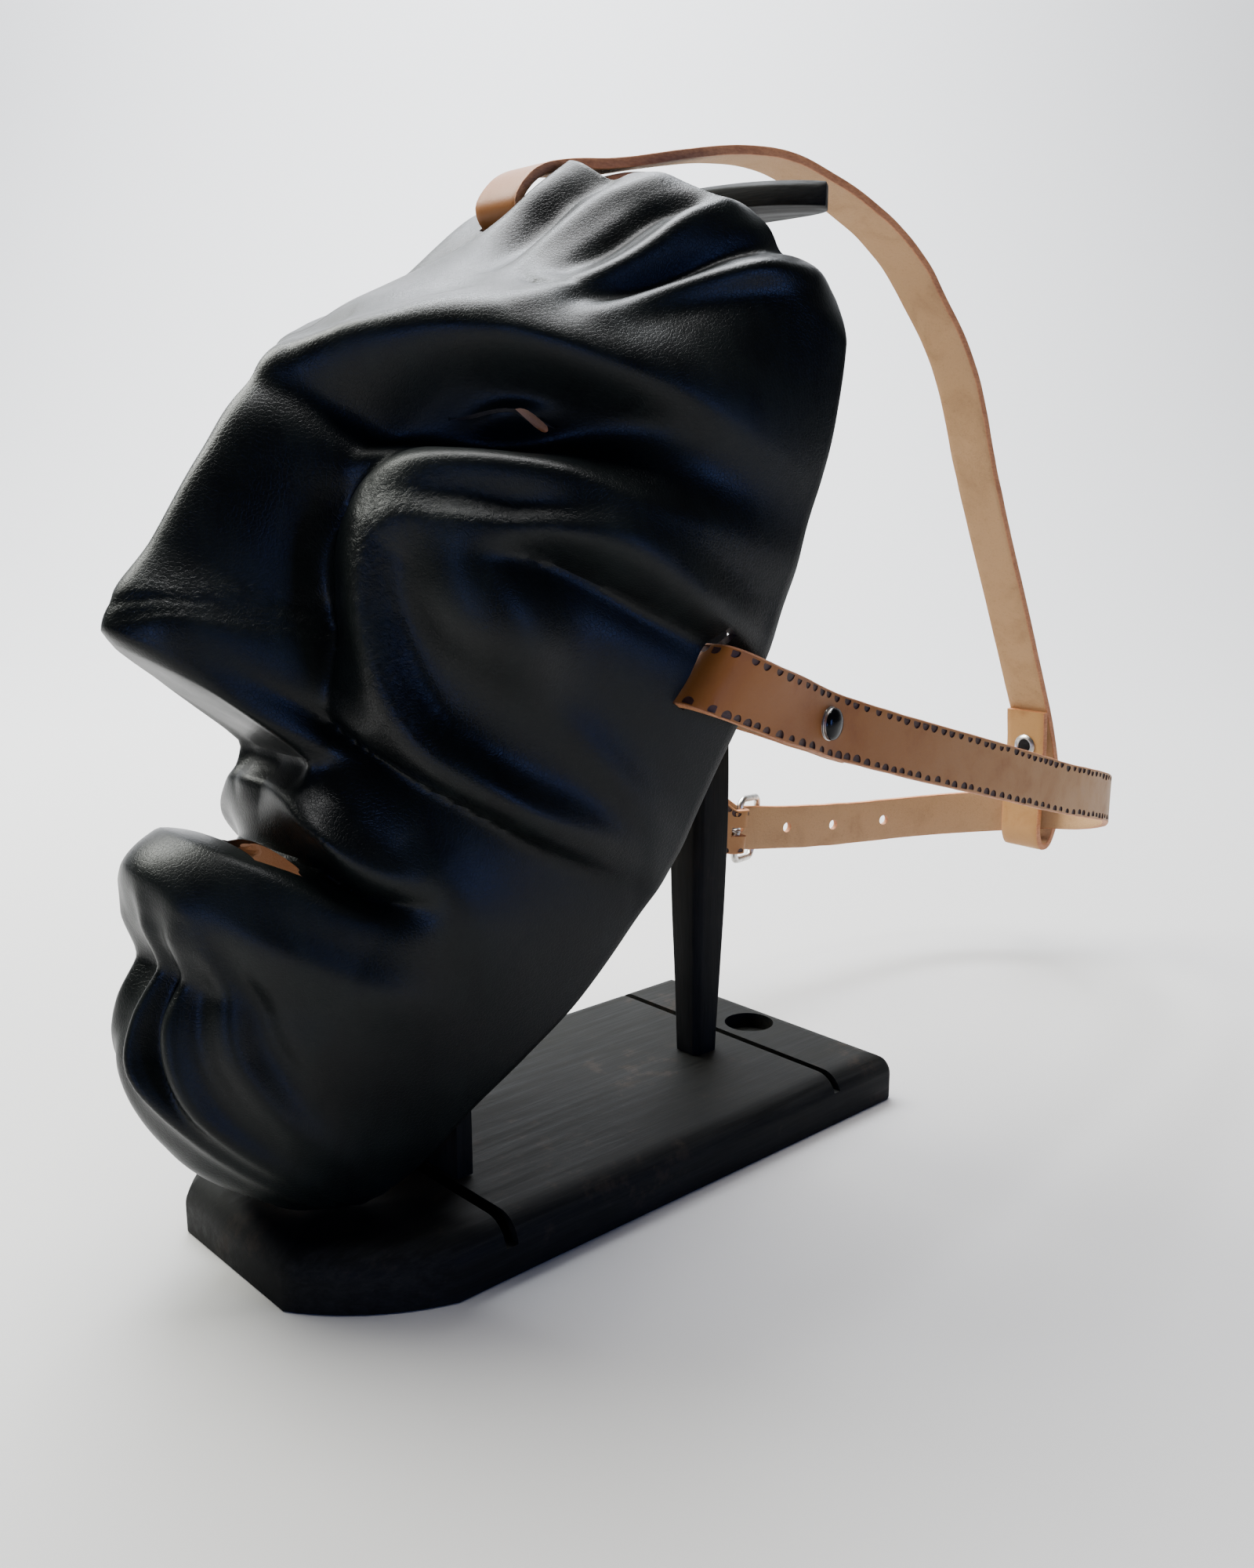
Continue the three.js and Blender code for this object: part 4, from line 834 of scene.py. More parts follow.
def fold_height(path: np.ndarray, q: np.ndarray, t: np.ndarray, sharp: bool = False) -> np.ndarray:
    """Height of a fold.

    Args:
        path: The fold's rows.
        q: Places round the face.
        t: Places up the face.
        sharp: Whether its bottom or top is a crease.

    Returns:
        The heights there.
    """
    nearest = np.full(q.shape, np.inf)
    height = np.zeros(q.shape)
    for a, b in zip(path[:-1], path[1:]):
        length = math.hypot(b[0] - a[0], b[1] - a[1])
        way_q, way_t = (b[0] - a[0]) / length, (b[1] - a[1]) / length
        u = np.clip(((q - a[0]) * way_q + (t - a[1]) * way_t) / length, 0, 1)
        off_q = q - a[0] - u * length * way_q
        off_t = t - a[1] - u * length * way_t
        off = np.hypot(off_q, off_t)
        left = smoothstep(0.5 + 0.5 * (way_q * off_t - way_t * off_q) / (off + 1e-6), 0, 1)
        width = (a[3] + (b[3] - a[3]) * u) * (1 - left) + (a[2] + (b[2] - a[2]) * u) * left
        fall = (off / width) ** 2
        if sharp:
            fall = np.sqrt(fall + CREASE_ROUND) * CREASE_FALL - CREASE_START
        value = (a[4] + (b[4] - a[4]) * u) * np.exp(-fall)
        height = np.where(off < nearest, value, height)
        nearest = np.minimum(nearest, off)
    return height


class MaskForm:
    """The mask's outer face as a function of places up and across."""

    section_steps = 120
    normal_step = 0.01
    row_steps = 4000
    nose_share = 0.55
    middle_share = 0.65
    rim_share = 0.35
    column_power = 1.15

    def __init__(self) -> None:
        """Makes the section curves and the folds' paths."""
        table = np.asarray(SECTIONS, float)
        self.sections = [SmoothCurve(table[:, 0], table[:, c]) for c in range(1, table.shape[1])]
        self.brow = fold_path(BROW)
        self.face_paths, self.creases, self.chin_paths, self.middle_paths = (
            [fold_path(rows) for rows in folds.values()]
            for folds in (FACE_FOLDS, CREASES, CHIN_FOLDS, MIDDLE_FOLDS))

    def plain(self, s: np.ndarray, v: np.ndarray) -> np.ndarray:
        """The smooth face without its features.

        Args:
            s: Places across, -1 to 1.
            v: Places up, 0 to 1.

        Returns:
            x, t and d in the last axis.
        """
        s, v = np.broadcast_arrays(s, v)
        mid_t, mid_d, rim_x, rim_t, rim_d, square = (curve(v) for curve in self.sections)
        angle = np.minimum(np.abs(s), 1) * (math.pi / 2)
        power = 2 / square
        across = np.sign(s) * rim_x * np.sin(angle) ** power
        back = 1 - np.maximum(np.cos(angle), 0) ** power
        return np.stack([across, mid_t + (rim_t - mid_t) * back,
                         mid_d + (rim_d - mid_d) * back], axis=-1)

    def plain_normals(self, s: np.ndarray, v: np.ndarray) -> np.ndarray:
        """The plain face's outward directions."""
        e = self.normal_step
        sideways = self.plain(np.minimum(s + e, 1), v) - self.plain(np.maximum(s - e, -1), v)
        upwards = self.plain(s, np.minimum(v + e, 1)) - self.plain(s, np.maximum(v - e, 0))
        return unit(np.cross(sideways, upwards))

    def round_lengths(self, s: np.ndarray, v: np.ndarray) -> np.ndarray:
        """Lengths round the plain face from the middle line.

        Args:
            s: A row of places across.
            v: A column of places up.

        Returns:
            A grid of lengths, negative on the far side.
        """
        steps = np.linspace(0, 1, self.section_steps + 1)[None, :]
        points = self.plain(steps, v)
        lengths = np.concatenate([np.zeros((len(v), 1)), np.cumsum(
            np.linalg.norm(np.diff(points, axis=1), axis=2), axis=1)], axis=1)
        rows = [np.interp(np.abs(s[0]), steps[0], row) for row in lengths]
        return np.sign(s) * np.stack(rows)

    def relief(self, q: np.ndarray, t: np.ndarray) -> np.ndarray:
        """How far the folds stand off the plain face."""
        side = np.abs(q)
        height = fold_height(self.brow, side, t) * np.where(q < 0, FAR_BROW_SHARE, 1)
        for path in self.face_paths:
            height += fold_height(path, side, t)
        for path in self.creases:
            height += fold_height(path, side, t, True)
        for swelling in SWELLINGS:
            height += swelling.height_at(side, t)
        for path in self.middle_paths:
            height += fold_height(path, q, t)
        for path in self.chin_paths:
            height += fold_height(path, q, t) + FAR_CHIN_SHARE * fold_height(path, -q, t)
        return height

    def standing(self, q: np.ndarray, t: np.ndarray) -> np.ndarray:
        """How far the nose and the lips stand straight out."""
        side = np.abs(q)
        hump = lambda width, power: np.maximum(1 - (side / width) ** 2, 0) ** power
        nose = NOSE_HEIGHT(t) * hump(NOSE_WIDTH(t) * NOSE_WIDTH_SCALE, NOSE_ROUNDNESS)
        wing = WING_HEIGHT(t) * np.exp(-(((side - WING_Q) / WING_REACH) ** 2))
        lip = LIP_HEIGHT(t) * hump(LIP_WIDTH(t), LIP_ROUNDNESS)
        upper = UPPER_LIP_HEIGHT(t) * np.exp(-((side / UPPER_LIP_REACH) ** 2))
        return nose + wing + lip + upper

    def row_places(self, count: int) -> np.ndarray:
        """Places up the face, closer where the middle line rises steeply."""
        v = np.linspace(0, 1, self.row_steps + 1)
        middle = self.plain(np.zeros_like(v), v)
        middle[:, 2] += self.nose_share * self.standing(np.zeros_like(v), middle[:, 1])
        along = lengths_along(middle)
        beside = lengths_along(self.plain(np.ones_like(v), v))
        measure = along / along[-1] * self.middle_share + beside / beside[-1] * self.rim_share
        return np.interp(np.linspace(0, 1, count), measure, v)

    def column_places(self, count: int) -> np.ndarray:
        """Places across, a little closer in the middle."""
        even = np.linspace(-1, 1, count)
        return np.sign(even) * np.abs(even) ** self.column_power

    def face(self, s: np.ndarray, v: np.ndarray) -> tuple[np.ndarray, np.ndarray, np.ndarray]:
        """The outer face.

        Args:
            s: A row of places across.
            v: A column of places up.

        Returns:
            The face's points in its own frame, and the grids of q and t.
        """
        plain = self.plain(s, v)
        q = self.round_lengths(s, v)
        t = plain[..., 1]
        points = plain + self.plain_normals(s, v) * self.relief(q, t)[..., None]
        points[..., 2] += self.standing(q, t)
        return points, q, t


def grid_normals(grid: np.ndarray) -> np.ndarray:
    """Outward directions of a grid of points."""
    return unit(np.cross(np.gradient(grid, axis=1), np.gradient(grid, axis=0)))


def grid_cells(grid: np.ndarray) -> np.ndarray:
    """The four corners of each cell of a grid of point numbers."""
    corners = [grid[:-1, :-1], grid[:-1, 1:], grid[1:, 1:], grid[1:, :-1]]
    return np.stack(corners, axis=-1).reshape(-1, 4)


def grid_border(grid: np.ndarray) -> np.ndarray:
    """The loop round a grid of point numbers."""
    return np.concatenate([grid[0, :-1], grid[:-1, -1], grid[-1, :0:-1], grid[:0:-1, 0]])


class MaskFace(IntEnum):
    """Finish numbers of the mask."""

    OUTSIDE = 0
    INSIDE = 1
    EDGE = 2


@dataclass(frozen=True)
class Opening:
    """A slot through the face: a pointed lens round x and t, turned, from a low to a high d."""

    x: float
    t: float
    half: float
    height: float
    turn: float
    low: float
    high: float
    finish: int = MaskFace.EDGE
    steps: int = 24

    def cutter(self) -> Shape:
        """The cutter, standing out of the face."""
        angle = math.radians(self.turn)
        u = np.linspace(-1, 1, self.steps + 1)
        along = np.concatenate([u[:-1], -u[:-1]]) * self.half
        edge = np.repeat([-1.0, 1.0], self.steps)
        across = edge * self.height * (1 - (along / self.half) ** 2)
        x = self.x + along * math.cos(angle) - across * math.sin(angle)
        t = self.t + along * math.sin(angle) + across * math.cos(angle)
        return loft(np.stack([to_part(x, t, self.low), to_part(x, t, self.high)]),
                    sides=[self.finish] * (2 * self.steps), cap_finish=self.finish)


MOUTH = Opening(0, 89.3, 28, 4, 0, 14, 66)
# An eye's slit, and its outer corner, where the tan inside shows: x, t, half, height and finish
EYE_SLIT = (43, 219.8, 11.5, 0.6, MaskFace.EDGE)
EYE_CORNER = (50.4, 223, 2.2, 0.9, MaskFace.INSIDE)
EYE_TURN = 24
EYE_DEPTHS = (30, 110)
EYES = tuple(
    Opening(side * x, t, half, height, side * EYE_TURN, *EYE_DEPTHS, finish)
    for x, t, half, height, finish in (EYE_SLIT, EYE_CORNER)
    for side in (1, -1)
)


@dataclass(frozen=True)
class BoxCut:
    """A straight slot, from its lowest to its highest x, t and d."""

    low: tuple[float, float, float]
    high: tuple[float, float, float]

    def cutter(self) -> Shape:
        """The cutter."""
        box = plain_box(self.low, self.high, MaskFace.EDGE)
        box.points = to_part(*box.points.T)
        return box


SIDE_SLITS = (
    BoxCut((65, 175.5, -0.1), (95, 200.5, 4.5)),
    BoxCut((-95, 175.5, -0.1), (-65, 200.5, 4.5)),
)
BROW_SLIT = BoxCut((-21.2, 293.5, 40), (1.2, 301.3, 110))
# What is trimmed off under the jaw: half its size across, and its height
TRIM_HALF = (120, 200)
TRIM_HEIGHT = 60
# Rings across the cut edge: depth as a share of the wall, reach as a share of the rounding
RIM_RINGS = ((0.12, 0.9), (0.5, 1.0), (0.88, 0.9))


@dataclass
class Mask:
    """The moulded leather mask: one wall with its openings."""

    rows: int = 281
    columns: int = 261
    rim_round: float = 0.5
    calm: float = 6.0

    def wall(self) -> Shape:
        """The wall, with a fine outer face and a plainer inner one."""
        form = MaskForm()
        v = form.row_places(self.rows)[:, None]
        s = form.column_places(self.columns)[None, :]
        local, q, t = form.face(s, v)
        front = to_part(local[..., 0], local[..., 1], local[..., 2])
        outward = unit(blurred(grid_normals(front), self.calm))
        back = (front - WALL * outward)[::2, ::2]
        fine = np.arange(self.rows * self.columns).reshape(self.rows, self.columns)
        coarse = fine.size + np.arange(back.shape[0] * back.shape[1]).reshape(back.shape[:2])
        outer, inner = grid_cells(fine), grid_cells(coarse)[:, ::-1]
        fine_loop, coarse_loop = grid_border(fine), grid_border(coarse)
        points = np.concatenate([front.reshape(-1, 3), back.reshape(-1, 3)])
        rim, ring_points = self.rim(points, fine_loop, outward.reshape(-1, 3))
        last = rim[-1]
        faces = outer.tolist() + inner.tolist()
        for before, after in zip([fine_loop, *rim[:-1]], rim):
            for i in range(len(before)):
                j = (i + 1) % len(before)
                faces.append([before[j], before[i], after[i], after[j]])
        for k in range(len(coarse_loop)):
            a, b, c = last[2 * k], last[2 * k + 1], last[(2 * k + 2) % len(last)]
            d, e = coarse_loop[k], coarse_loop[(k + 1) % len(coarse_loop)]
            faces += [[b, a, d], [b, d, e], [c, b, e]]
        finish = [MaskFace.OUTSIDE] * len(outer) + [MaskFace.INSIDE] * len(inner)
        finish += [MaskFace.EDGE] * (len(faces) - len(finish))
        grained = np.zeros(len(points) + len(ring_points))
        for rows in GRAINED:
            patch = fold_height(fold_path(rows), np.abs(q), t).ravel()
            grained[:fine.size] = np.maximum(grained[:fine.size], patch)
        return Shape(np.concatenate([points, ring_points]), faces, finish, {"grained": grained})

    def rim(self, points: np.ndarray, loop: np.ndarray,
            outward: np.ndarray) -> tuple[list[np.ndarray], np.ndarray]:
        """Rings of points across the cut edge.

        Args:
            points: The wall's points.
            loop: The outer face's border.
            outward: Directions through the wall, outwards.

        Returns:
            The numbers of the rings' points, which follow the wall's own, and the points.
        """
        edge = points[loop]
        through = -outward[loop]
        along = unit(np.roll(edge, -1, axis=0) - np.roll(edge, 1, axis=0))
        out = unit(np.cross(along, -through))
        rings, made = [], []
        for depth, reach in RIM_RINGS:
            rings.append(len(points) + len(loop) * len(made) + np.arange(len(loop)))
            made.append(edge + through * WALL * depth + out * self.rim_round * reach)
        return rings, np.concatenate(made)

    def build(self) -> bpy.types.Object:
        """Makes the mask and cuts its openings."""
        materials = [BLACK.material(), INNER_TAN.material(), BLACK_EDGE.material()]
        piece = make_object("mask_shell", self.wall(), materials)
        low = BOARD_THICK + GAP
        x, y = TRIM_HALF
        trim = plain_box((-x, -y, low - TRIM_HEIGHT), (x, y, low), MaskFace.EDGE)
        shapes = [opening.cutter() for opening in (MOUTH, *EYES, *SIDE_SLITS, BROW_SLIT)]
        cut(piece, [make_object("cutter", shape, materials) for shape in [*shapes, trim]])
        shade(piece, 42)
        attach(piece, "root")
        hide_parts("mask")
        return piece


# Straps


STRAP_WIDTH = 20.0
STRAP_THICK = 2.6
HEAD_ROUTE = [
    [75.2, 65, 147.6], [75.2, 48, 153.6], [75, 30, 159.8], [74.4, 14, 165.4], [73.8, 3, 169.2],
    [73.6, -2.8, 171.3], [75.4, -7, 172.9], [79.6, -8.1, 173.4], [82.6, -8, 173.3], [86, -6.2, 172.6],
    [87.6, -1, 170.7], [87.6, 6, 168], [86.4, 18, 163.6], [83, 36, 157.4],
    [79.8, 52, 151.9], [79, 70, 146.4], [78, 100, 137.5], [76.4, 135, 127.6], [74.4, 170, 117.6],
    [71, 205, 107.6], [65.6, 238, 99.2], [56, 268, 91], [41, 290.5, 82], [21, 306, 74.4],
    [0, 311.5, 70], [-20, 304.5, 66.4], [-38, 288, 64.4], [-50, 266, 63.8], [-58.4, 238, 64.4],
    [-63.4, 210, 66.6], [-66.4, 188, 69.2], [-69.2, 168, 72], [-73, 150, 74.6], [-77.4, 132, 77.6],
]
BUCKLE_ROUTE = [
    [-75.2, 60, 136.6], [-75.2, 44, 146], [-75, 28, 155], [-74.4, 14, 162.8], [-73.8, 4, 168],
    [-73.6, -2.8, 171.3], [-75.4, -7, 172.9], [-79.6, -8.1, 173.4], [-82.6, -8, 173.3], [-86, -6.2, 172.4],
    [-87.6, -1, 169.8], [-87.6, 6, 166.2], [-86.4, 18, 160], [-83, 36, 150], [-79.8, 52, 140.8],
    [-78.4, 72, 128.6], [-76.8, 92, 116], [-74.6, 112, 103.6], [-71.8, 130, 93], [-68.4, 146, 84.4],
]
TOP_ROUTE = [
    [-10, 47, 321.6], [-10, 38, 320.2], [-10, 30, 317.9], [-10, 24.6, 315], [-10, 21, 311.9],
    [-10, 18.4, 308.6], [-10, 15.4, 305.6], [-10, 12, 303], [-10, 8.4, 301.4], [-10, 4.8, 301],
    [-10, 1.4, 301.5], [-10, -1.8, 302.6], [-10, -4.4, 304.6], [-10, -5.6, 308.2], [-10, -4.4, 310.9],
    [-10, -2.2, 313.6], [-10, 1.2, 316.6], [-10, 5.6, 318.9], [-9.9, 10.8, 320.4],
    [-9.8, 19.3, 322], [-9.6, 30.2, 323.4], [-9.4, 40.5, 325.3], [-9.2, 62.4, 330.3], [-9, 84.9, 334.8],
    [-8.8, 97.1, 336.3], [-8.6, 109.3, 337], [-8.4, 121.8, 336.2], [-8.2, 137.9, 332.8], [-8, 152, 329.2],
    [-7.8, 164, 324.9], [-7.6, 177, 319.5], [-7.5, 195.8, 308.1], [-7.3, 209.1, 295.4], [-7.1, 223, 281.3],
    [-7, 233.6, 266.5], [-6.9, 241.2, 251], [-6.8, 247.6, 235], [-6.6, 262.4, 203.6], [-6.4, 279.4, 170],
    [-6.2, 298, 132], [-6, 307.9, 111], [-6, 314.4, 93], [-6, 317, 82], [-6, 318, 70], [-6, 316.2, 59],
    [-6, 311.4, 52.6], [-6, 306, 52.4], [-6, 302.9, 57.6], [-6, 302.3, 68], [-6, 302.6, 84],
    [-6, 303.2, 101.6], [-6, 301.8, 118],
]
TOP_THICK = 3.2
WALL_SLANT = 0.2
# Where a side strap begins to turn upright, and where it is upright
TURN_START = 4
TURN_END = 45
# The buckle strap stands square to the buckle behind this y
BUCKLE_Y = 150
# Half the slot for the prong in the buckle strap: along, out and up
SLOT_HALF = np.array([6.5, 6.5, 2.0])
# How far the buckle strap's tail rises for each step back
TAIL_RISE = 0.22
# The prong from the bar to its point: places to the rear and out
PRONG_STEPS = ((-0.9, -1.9), (0, 0), (1, 2), (4, 4.7), (8, 5.5), (12, 6), (14.4, 6))
# The snaps' places: y on the outer run of a side strap's loop, z on the top strap's last run
NEAR_SNAP_Y = 47
FAR_SNAP_Y = 42
REAR_SNAP_Z = 101
OUTER_RUN_X = 79
LAST_RUN_Y = (301, 306)
ELSEWHERE = 1e9
WidthRule = Callable[[np.ndarray], np.ndarray]


def side_width(points: np.ndarray) -> np.ndarray:
    """The width of a side strap lies along its slit, and turns upright behind it."""
    free = smoothstep(points[:, 1], TURN_START, TURN_END)
    turn = LEAN + (math.pi / 2 - LEAN) * free
    slant = np.sign(points[:, 0]) * WALL_SLANT * (1 - free)
    return np.stack([slant, np.cos(turn), np.sin(turn)], axis=1)


def top_width(points: np.ndarray) -> np.ndarray:
    """The top strap's width lies across the head."""
    return np.tile([1.0, 0.0, 0.0], (len(points), 1))


@dataclass
class Frames:
    """Points along a route with the directions along, across and out of the strap."""

    points: np.ndarray
    way: np.ndarray
    across: np.ndarray
    out: np.ndarray

    def at(self, index: int) -> tuple[np.ndarray, np.ndarray, np.ndarray, np.ndarray]:
        """One point with its directions."""
        return self.points[index], self.way[index], self.across[index], self.out[index]


def route_curve(route: Rows, spacing: float) -> np.ndarray:
    """Points along a smooth curve through a route's points.

    Args:
        route: The route's points.
        spacing: Distance between the new points.

    Returns:
        The points, from the first to the last of the route.
    """
    knots = np.asarray(route, float)
    padded = np.concatenate([[2 * knots[0] - knots[1]], knots, [2 * knots[-1] - knots[-2]]])
    gaps = np.sqrt(np.linalg.norm(np.diff(padded, axis=0), axis=1))
    made = [knots[:1]]
    for i in range(len(knots) - 1):
        p0, p1, p2, p3 = padded[i:i + 4]
        g0, g1, g2 = gaps[i:i + 3]
        start = ((p1 - p0) / g0 - (p2 - p0) / (g0 + g1) + (p2 - p1) / g1) * g1
        end = ((p2 - p1) / g1 - (p3 - p1) / (g1 + g2) + (p3 - p2) / g2) * g1
        steps = max(int(math.ceil(np.linalg.norm(p2 - p1) / spacing)), 1)
        u = (np.arange(1, steps + 1) / steps)[:, None]
        made.append(p1 + u * start + u * u * (3 * (p2 - p1) - 2 * start - end)
                    + u ** 3 * (2 * (p1 - p2) + start + end))
    return np.concatenate(made)


def route_frames(route: Rows, spacing: float, rule: WidthRule) -> Frames:
    """Frames along a route.

    Args:
        route: The route's points.
        spacing: Distance between frames.
        rule: The wanted direction of the width at points.

    Returns:
        The frames.
    """
    points = route_curve(route, spacing)
    way = unit(np.gradient(points, axis=0))
    across = rule(points)
    across = unit(across - way * np.sum(across * way, axis=1, keepdims=True))
    return Frames(points, way, across, np.cross(way, across))


class StrapFace(IntEnum):
    """Finish numbers of a strap."""

    GRAIN = 0
    FLESH = 1
    EDGE = 2
    STAMP = 3


@dataclass
class Stamps:
    """Half-moon marks pressed in along both edges of a strap's grain side."""

    length: float = 3.7
    width: float = 2.1
    depth: float = 0.4
    spacing: float = 5.4
    spacing_range: tuple[float, float] = (0.82, 1.25)
    size_range: tuple[float, float] = (0.82, 1.16)
    inset: float = 1.3
    inset_jitter: float = 0.25
    ends: tuple[float, float] = (2.5, 2.0)
    tool_height: float = 1.5
    # The straight side of a disc one wide, and what the disc's width is to the half-moon's
    straight_side: float = -0.12
    disc_share: float = 1.6
    disc_points: int = 14
    seed: int = 7

    def tree(self) -> bpy.types.NodeTree:
        """The tree that sets one half-moon on each point."""
        tree = bpy.data.node_groups.new("half_moon_stamps", "GeometryNodeTree")
        face = tree.interface
        face.new_socket("Points", in_out="INPUT", socket_type="NodeSocketGeometry")
        for title in ("Length", "Width", "Depth"):
            face.new_socket(title, in_out="INPUT", socket_type="NodeSocketFloat")
        face.new_socket("Finish", in_out="INPUT", socket_type="NodeSocketMaterial")
        face.new_socket("Stamps", in_out="OUTPUT", socket_type="NodeSocketGeometry")
        graph = NodeGraph(tree)
        given = graph.node("NodeGroupInput")
        value = {socket.name: Signal(graph, socket) for socket in given.outputs if socket.name}
        disc = graph.out("GeometryNodeMeshCircle", {"fill_type": "NGON"},
                         {"Vertices": self.disc_points, "Radius": 0.5})
        split = graph.node("ShaderNodeSeparateXYZ", None, {0: graph.out("GeometryNodeInputPosition")})
        x, y = Signal(graph, split.outputs["X"]), Signal(graph, split.outputs["Y"])
        low = graph.out("FunctionNodeCompare", {"operation": "LESS_THAN"},
                        {"A": y, "B": self.straight_side})
        place = graph.out("ShaderNodeCombineXYZ", None, {"X": x, "Y": self.straight_side, "Z": 0.0})
        moon = graph.out("GeometryNodeSetPosition", None,
                         {"Geometry": disc, "Selection": low, "Position": place})
        solid = graph.out("GeometryNodeExtrudeMesh", {"mode": "FACES"},
                          {"Mesh": moon, "Offset Scale": 1.0, "Individual": False})
        flipped = graph.out("GeometryNodeFlipFaces", None, {"Mesh": moon})
        both = graph.node("GeometryNodeJoinGeometry", None, {0: solid})
        tree.links.new(flipped.socket, both.inputs[0])
        closed = graph.out("GeometryNodeMergeByDistance", None,
                           {"Geometry": Signal(graph, both.outputs[0]), "Distance": 1e-4})
        named = lambda title: graph.out("GeometryNodeInputNamedAttribute",
                                        {"data_type": "FLOAT_VECTOR"}, {"Name": title})
        turn = graph.out("FunctionNodeAxesToRotation", {"primary_axis": "Z", "secondary_axis": "X"},
                         {0: named("out"), 1: named("way")})
        smallest, largest = self.size_range
        vary = graph.out("FunctionNodeRandomValue", {"data_type": "FLOAT"},
                         {2: smallest, 3: largest, "Seed": self.seed}, 1)
        size = graph.out("ShaderNodeCombineXYZ", None, {
            "X": value["Length"] * vary, "Y": value["Width"] * vary, "Z": value["Depth"]})
        instances = graph.out("GeometryNodeInstanceOnPoints", None, {
            "Points": value["Points"], "Instance": closed, "Rotation": turn, "Scale": size})
        real = graph.out("GeometryNodeRealizeInstances", None, {"Geometry": instances})
        final = graph.out("GeometryNodeSetMaterial", None,
                          {"Geometry": real, "Material": value["Finish"]})
        graph.node("NodeGroupOutput", None, {"Stamps": final})
        return tree

    def solids(self, frames: Frames, grain: int,
               materials: Sequence[bpy.types.Material]) -> bpy.types.Object:
        """The stamps as one mesh that can be cut out of the strap.

        Args:
            frames: The strap's frames, closely set.
            grain: 1 where the grain side is the frames' outer side, or else -1.
            materials: The strap's materials.

        Returns:
            The object.
        """
        random = np.random.default_rng(self.seed)
        along = lengths_along(frames.points)
        first, last = self.ends
        lift = STRAP_THICK / 2 - self.depth
        points, ways, outs = [], [], []
        for edge in (-1, 1):
            place = first
            while place < along[-1] - last:
                pick = lambda table: np.array([np.interp(place, along, column) for column in table.T])
                out, across = pick(frames.out) * grain, pick(frames.across)
                jitter = random.uniform(-self.inset_jitter, self.inset_jitter)
                inset = STRAP_WIDTH / 2 - self.inset - jitter
                points.append(pick(frames.points) + across * edge * inset + out * lift)
                ways.append(np.cross(-across * edge, out))
                outs.append(out)
                place += self.spacing * random.uniform(*self.spacing_range)
        marks = {"way": np.array(ways), "out": np.array(outs)}
        holder = make_object("stamps", Shape(np.array(points), [], None, marks), [])
        modifier = holder.modifiers.new("stamps", "NODES")
        modifier.node_group = self.tree()
        values = {"Length": self.length * MM, "Width": self.width * MM * self.disc_share,
                  "Depth": self.tool_height * MM, "Finish": materials[StrapFace.STAMP]}
        for item in modifier.node_group.interface.items_tree:
            if item.in_out == "INPUT" and item.name in values:
                modifier[item.identifier] = values[item.name]
        settle(holder)
        mesh = holder.data
        mesh.materials.clear()
        for material in materials:
            mesh.materials.append(material)
        stamped = np.full(len(mesh.polygons), StrapFace.STAMP, np.int32)
        mesh.polygons.foreach_set("material_index", stamped)
        return holder


@dataclass
class Band:
    """A leather band along a route."""

    name: str
    node: str
    route: Rows
    rule: WidthRule
    grain: int
    stamped: bool = True
    thick: float = STRAP_THICK
    spacing: float = 1.6
    corner: float = 0.5
    corner_share: float = 0.3
    flat_steps: int = 8
    waver: float = 0.012
    waver_length: float = 9.0
    waver_seed: int = 3

    def section(self) -> tuple[np.ndarray, np.ndarray, list[int]]:
        """The band's cross section.

        Returns:
            Places across, places out, and the finish number of each side.
        """
        w, h, r = STRAP_WIDTH / 2, self.thick / 2, self.corner
        soft = r * self.corner_share
        flat = [(w - r) * (1 - 2 * i / self.flat_steps) for i in range(self.flat_steps + 1)]
        across = [w, w, w - soft, *flat, -(w - soft), -w]
        outwards = [0, h - r, h - soft, *(h for _ in flat), h - soft, h - r]
        sides = (StrapFace.GRAIN, StrapFace.FLESH)
        faces = []
        for side in sides if self.grain > 0 else sides[::-1]:
            faces += [StrapFace.EDGE] * 3 + [side] * self.flat_steps + [StrapFace.EDGE] * 3
        return (np.array(across + [-a for a in across]),
                np.array(outwards + [-o for o in outwards]), faces)

    def frames(self, spacing: float) -> Frames:
        """Frames along the band."""
        return route_frames(self.route, spacing, self.rule)

    def shape(self) -> Shape:
        """The band's solid."""
        frames = self.frames(self.spacing)
        across, outwards, sides = self.section()
        along = np.arange(len(frames.points)) * self.spacing
        noise = value_noise(along / self.waver_length, np.zeros_like(along), self.waver_seed)
        waver = 1 + self.waver * noise
        rings = (frames.points[:, None]
                 + frames.across[:, None] * (across[None, :, None] * waver[:, None, None])
                 + frames.out[:, None] * outwards[None, :, None])
        return loft(rings, sides=sides, cap_finish=StrapFace.EDGE)

    def materials(self) -> list[bpy.types.Material]:
        """The band's materials, in the order of StrapFace."""
        return [GRAIN.material(), FLESH.material(), STRAP_EDGE.material(), STAMP.material()]

    def build(self, cutters: Sequence[Shape] = ()) -> bpy.types.Object:
        """Makes the band.

        Args:
            cutters: Shapes to take out of it.

        Returns:
            The object.
        """
        materials = self.materials()
        piece = make_object(self.name, self.shape(), materials)
        tools = [make_object("cutter", shape, materials) for shape in cutters]
        if self.stamped:
            tools.append(Stamps().solids(self.frames(0.8), self.grain, materials))
        if tools:
            cut(piece, tools)
        shade(piece, 38)
        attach(piece, "root")
        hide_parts(self.node)
        return piece


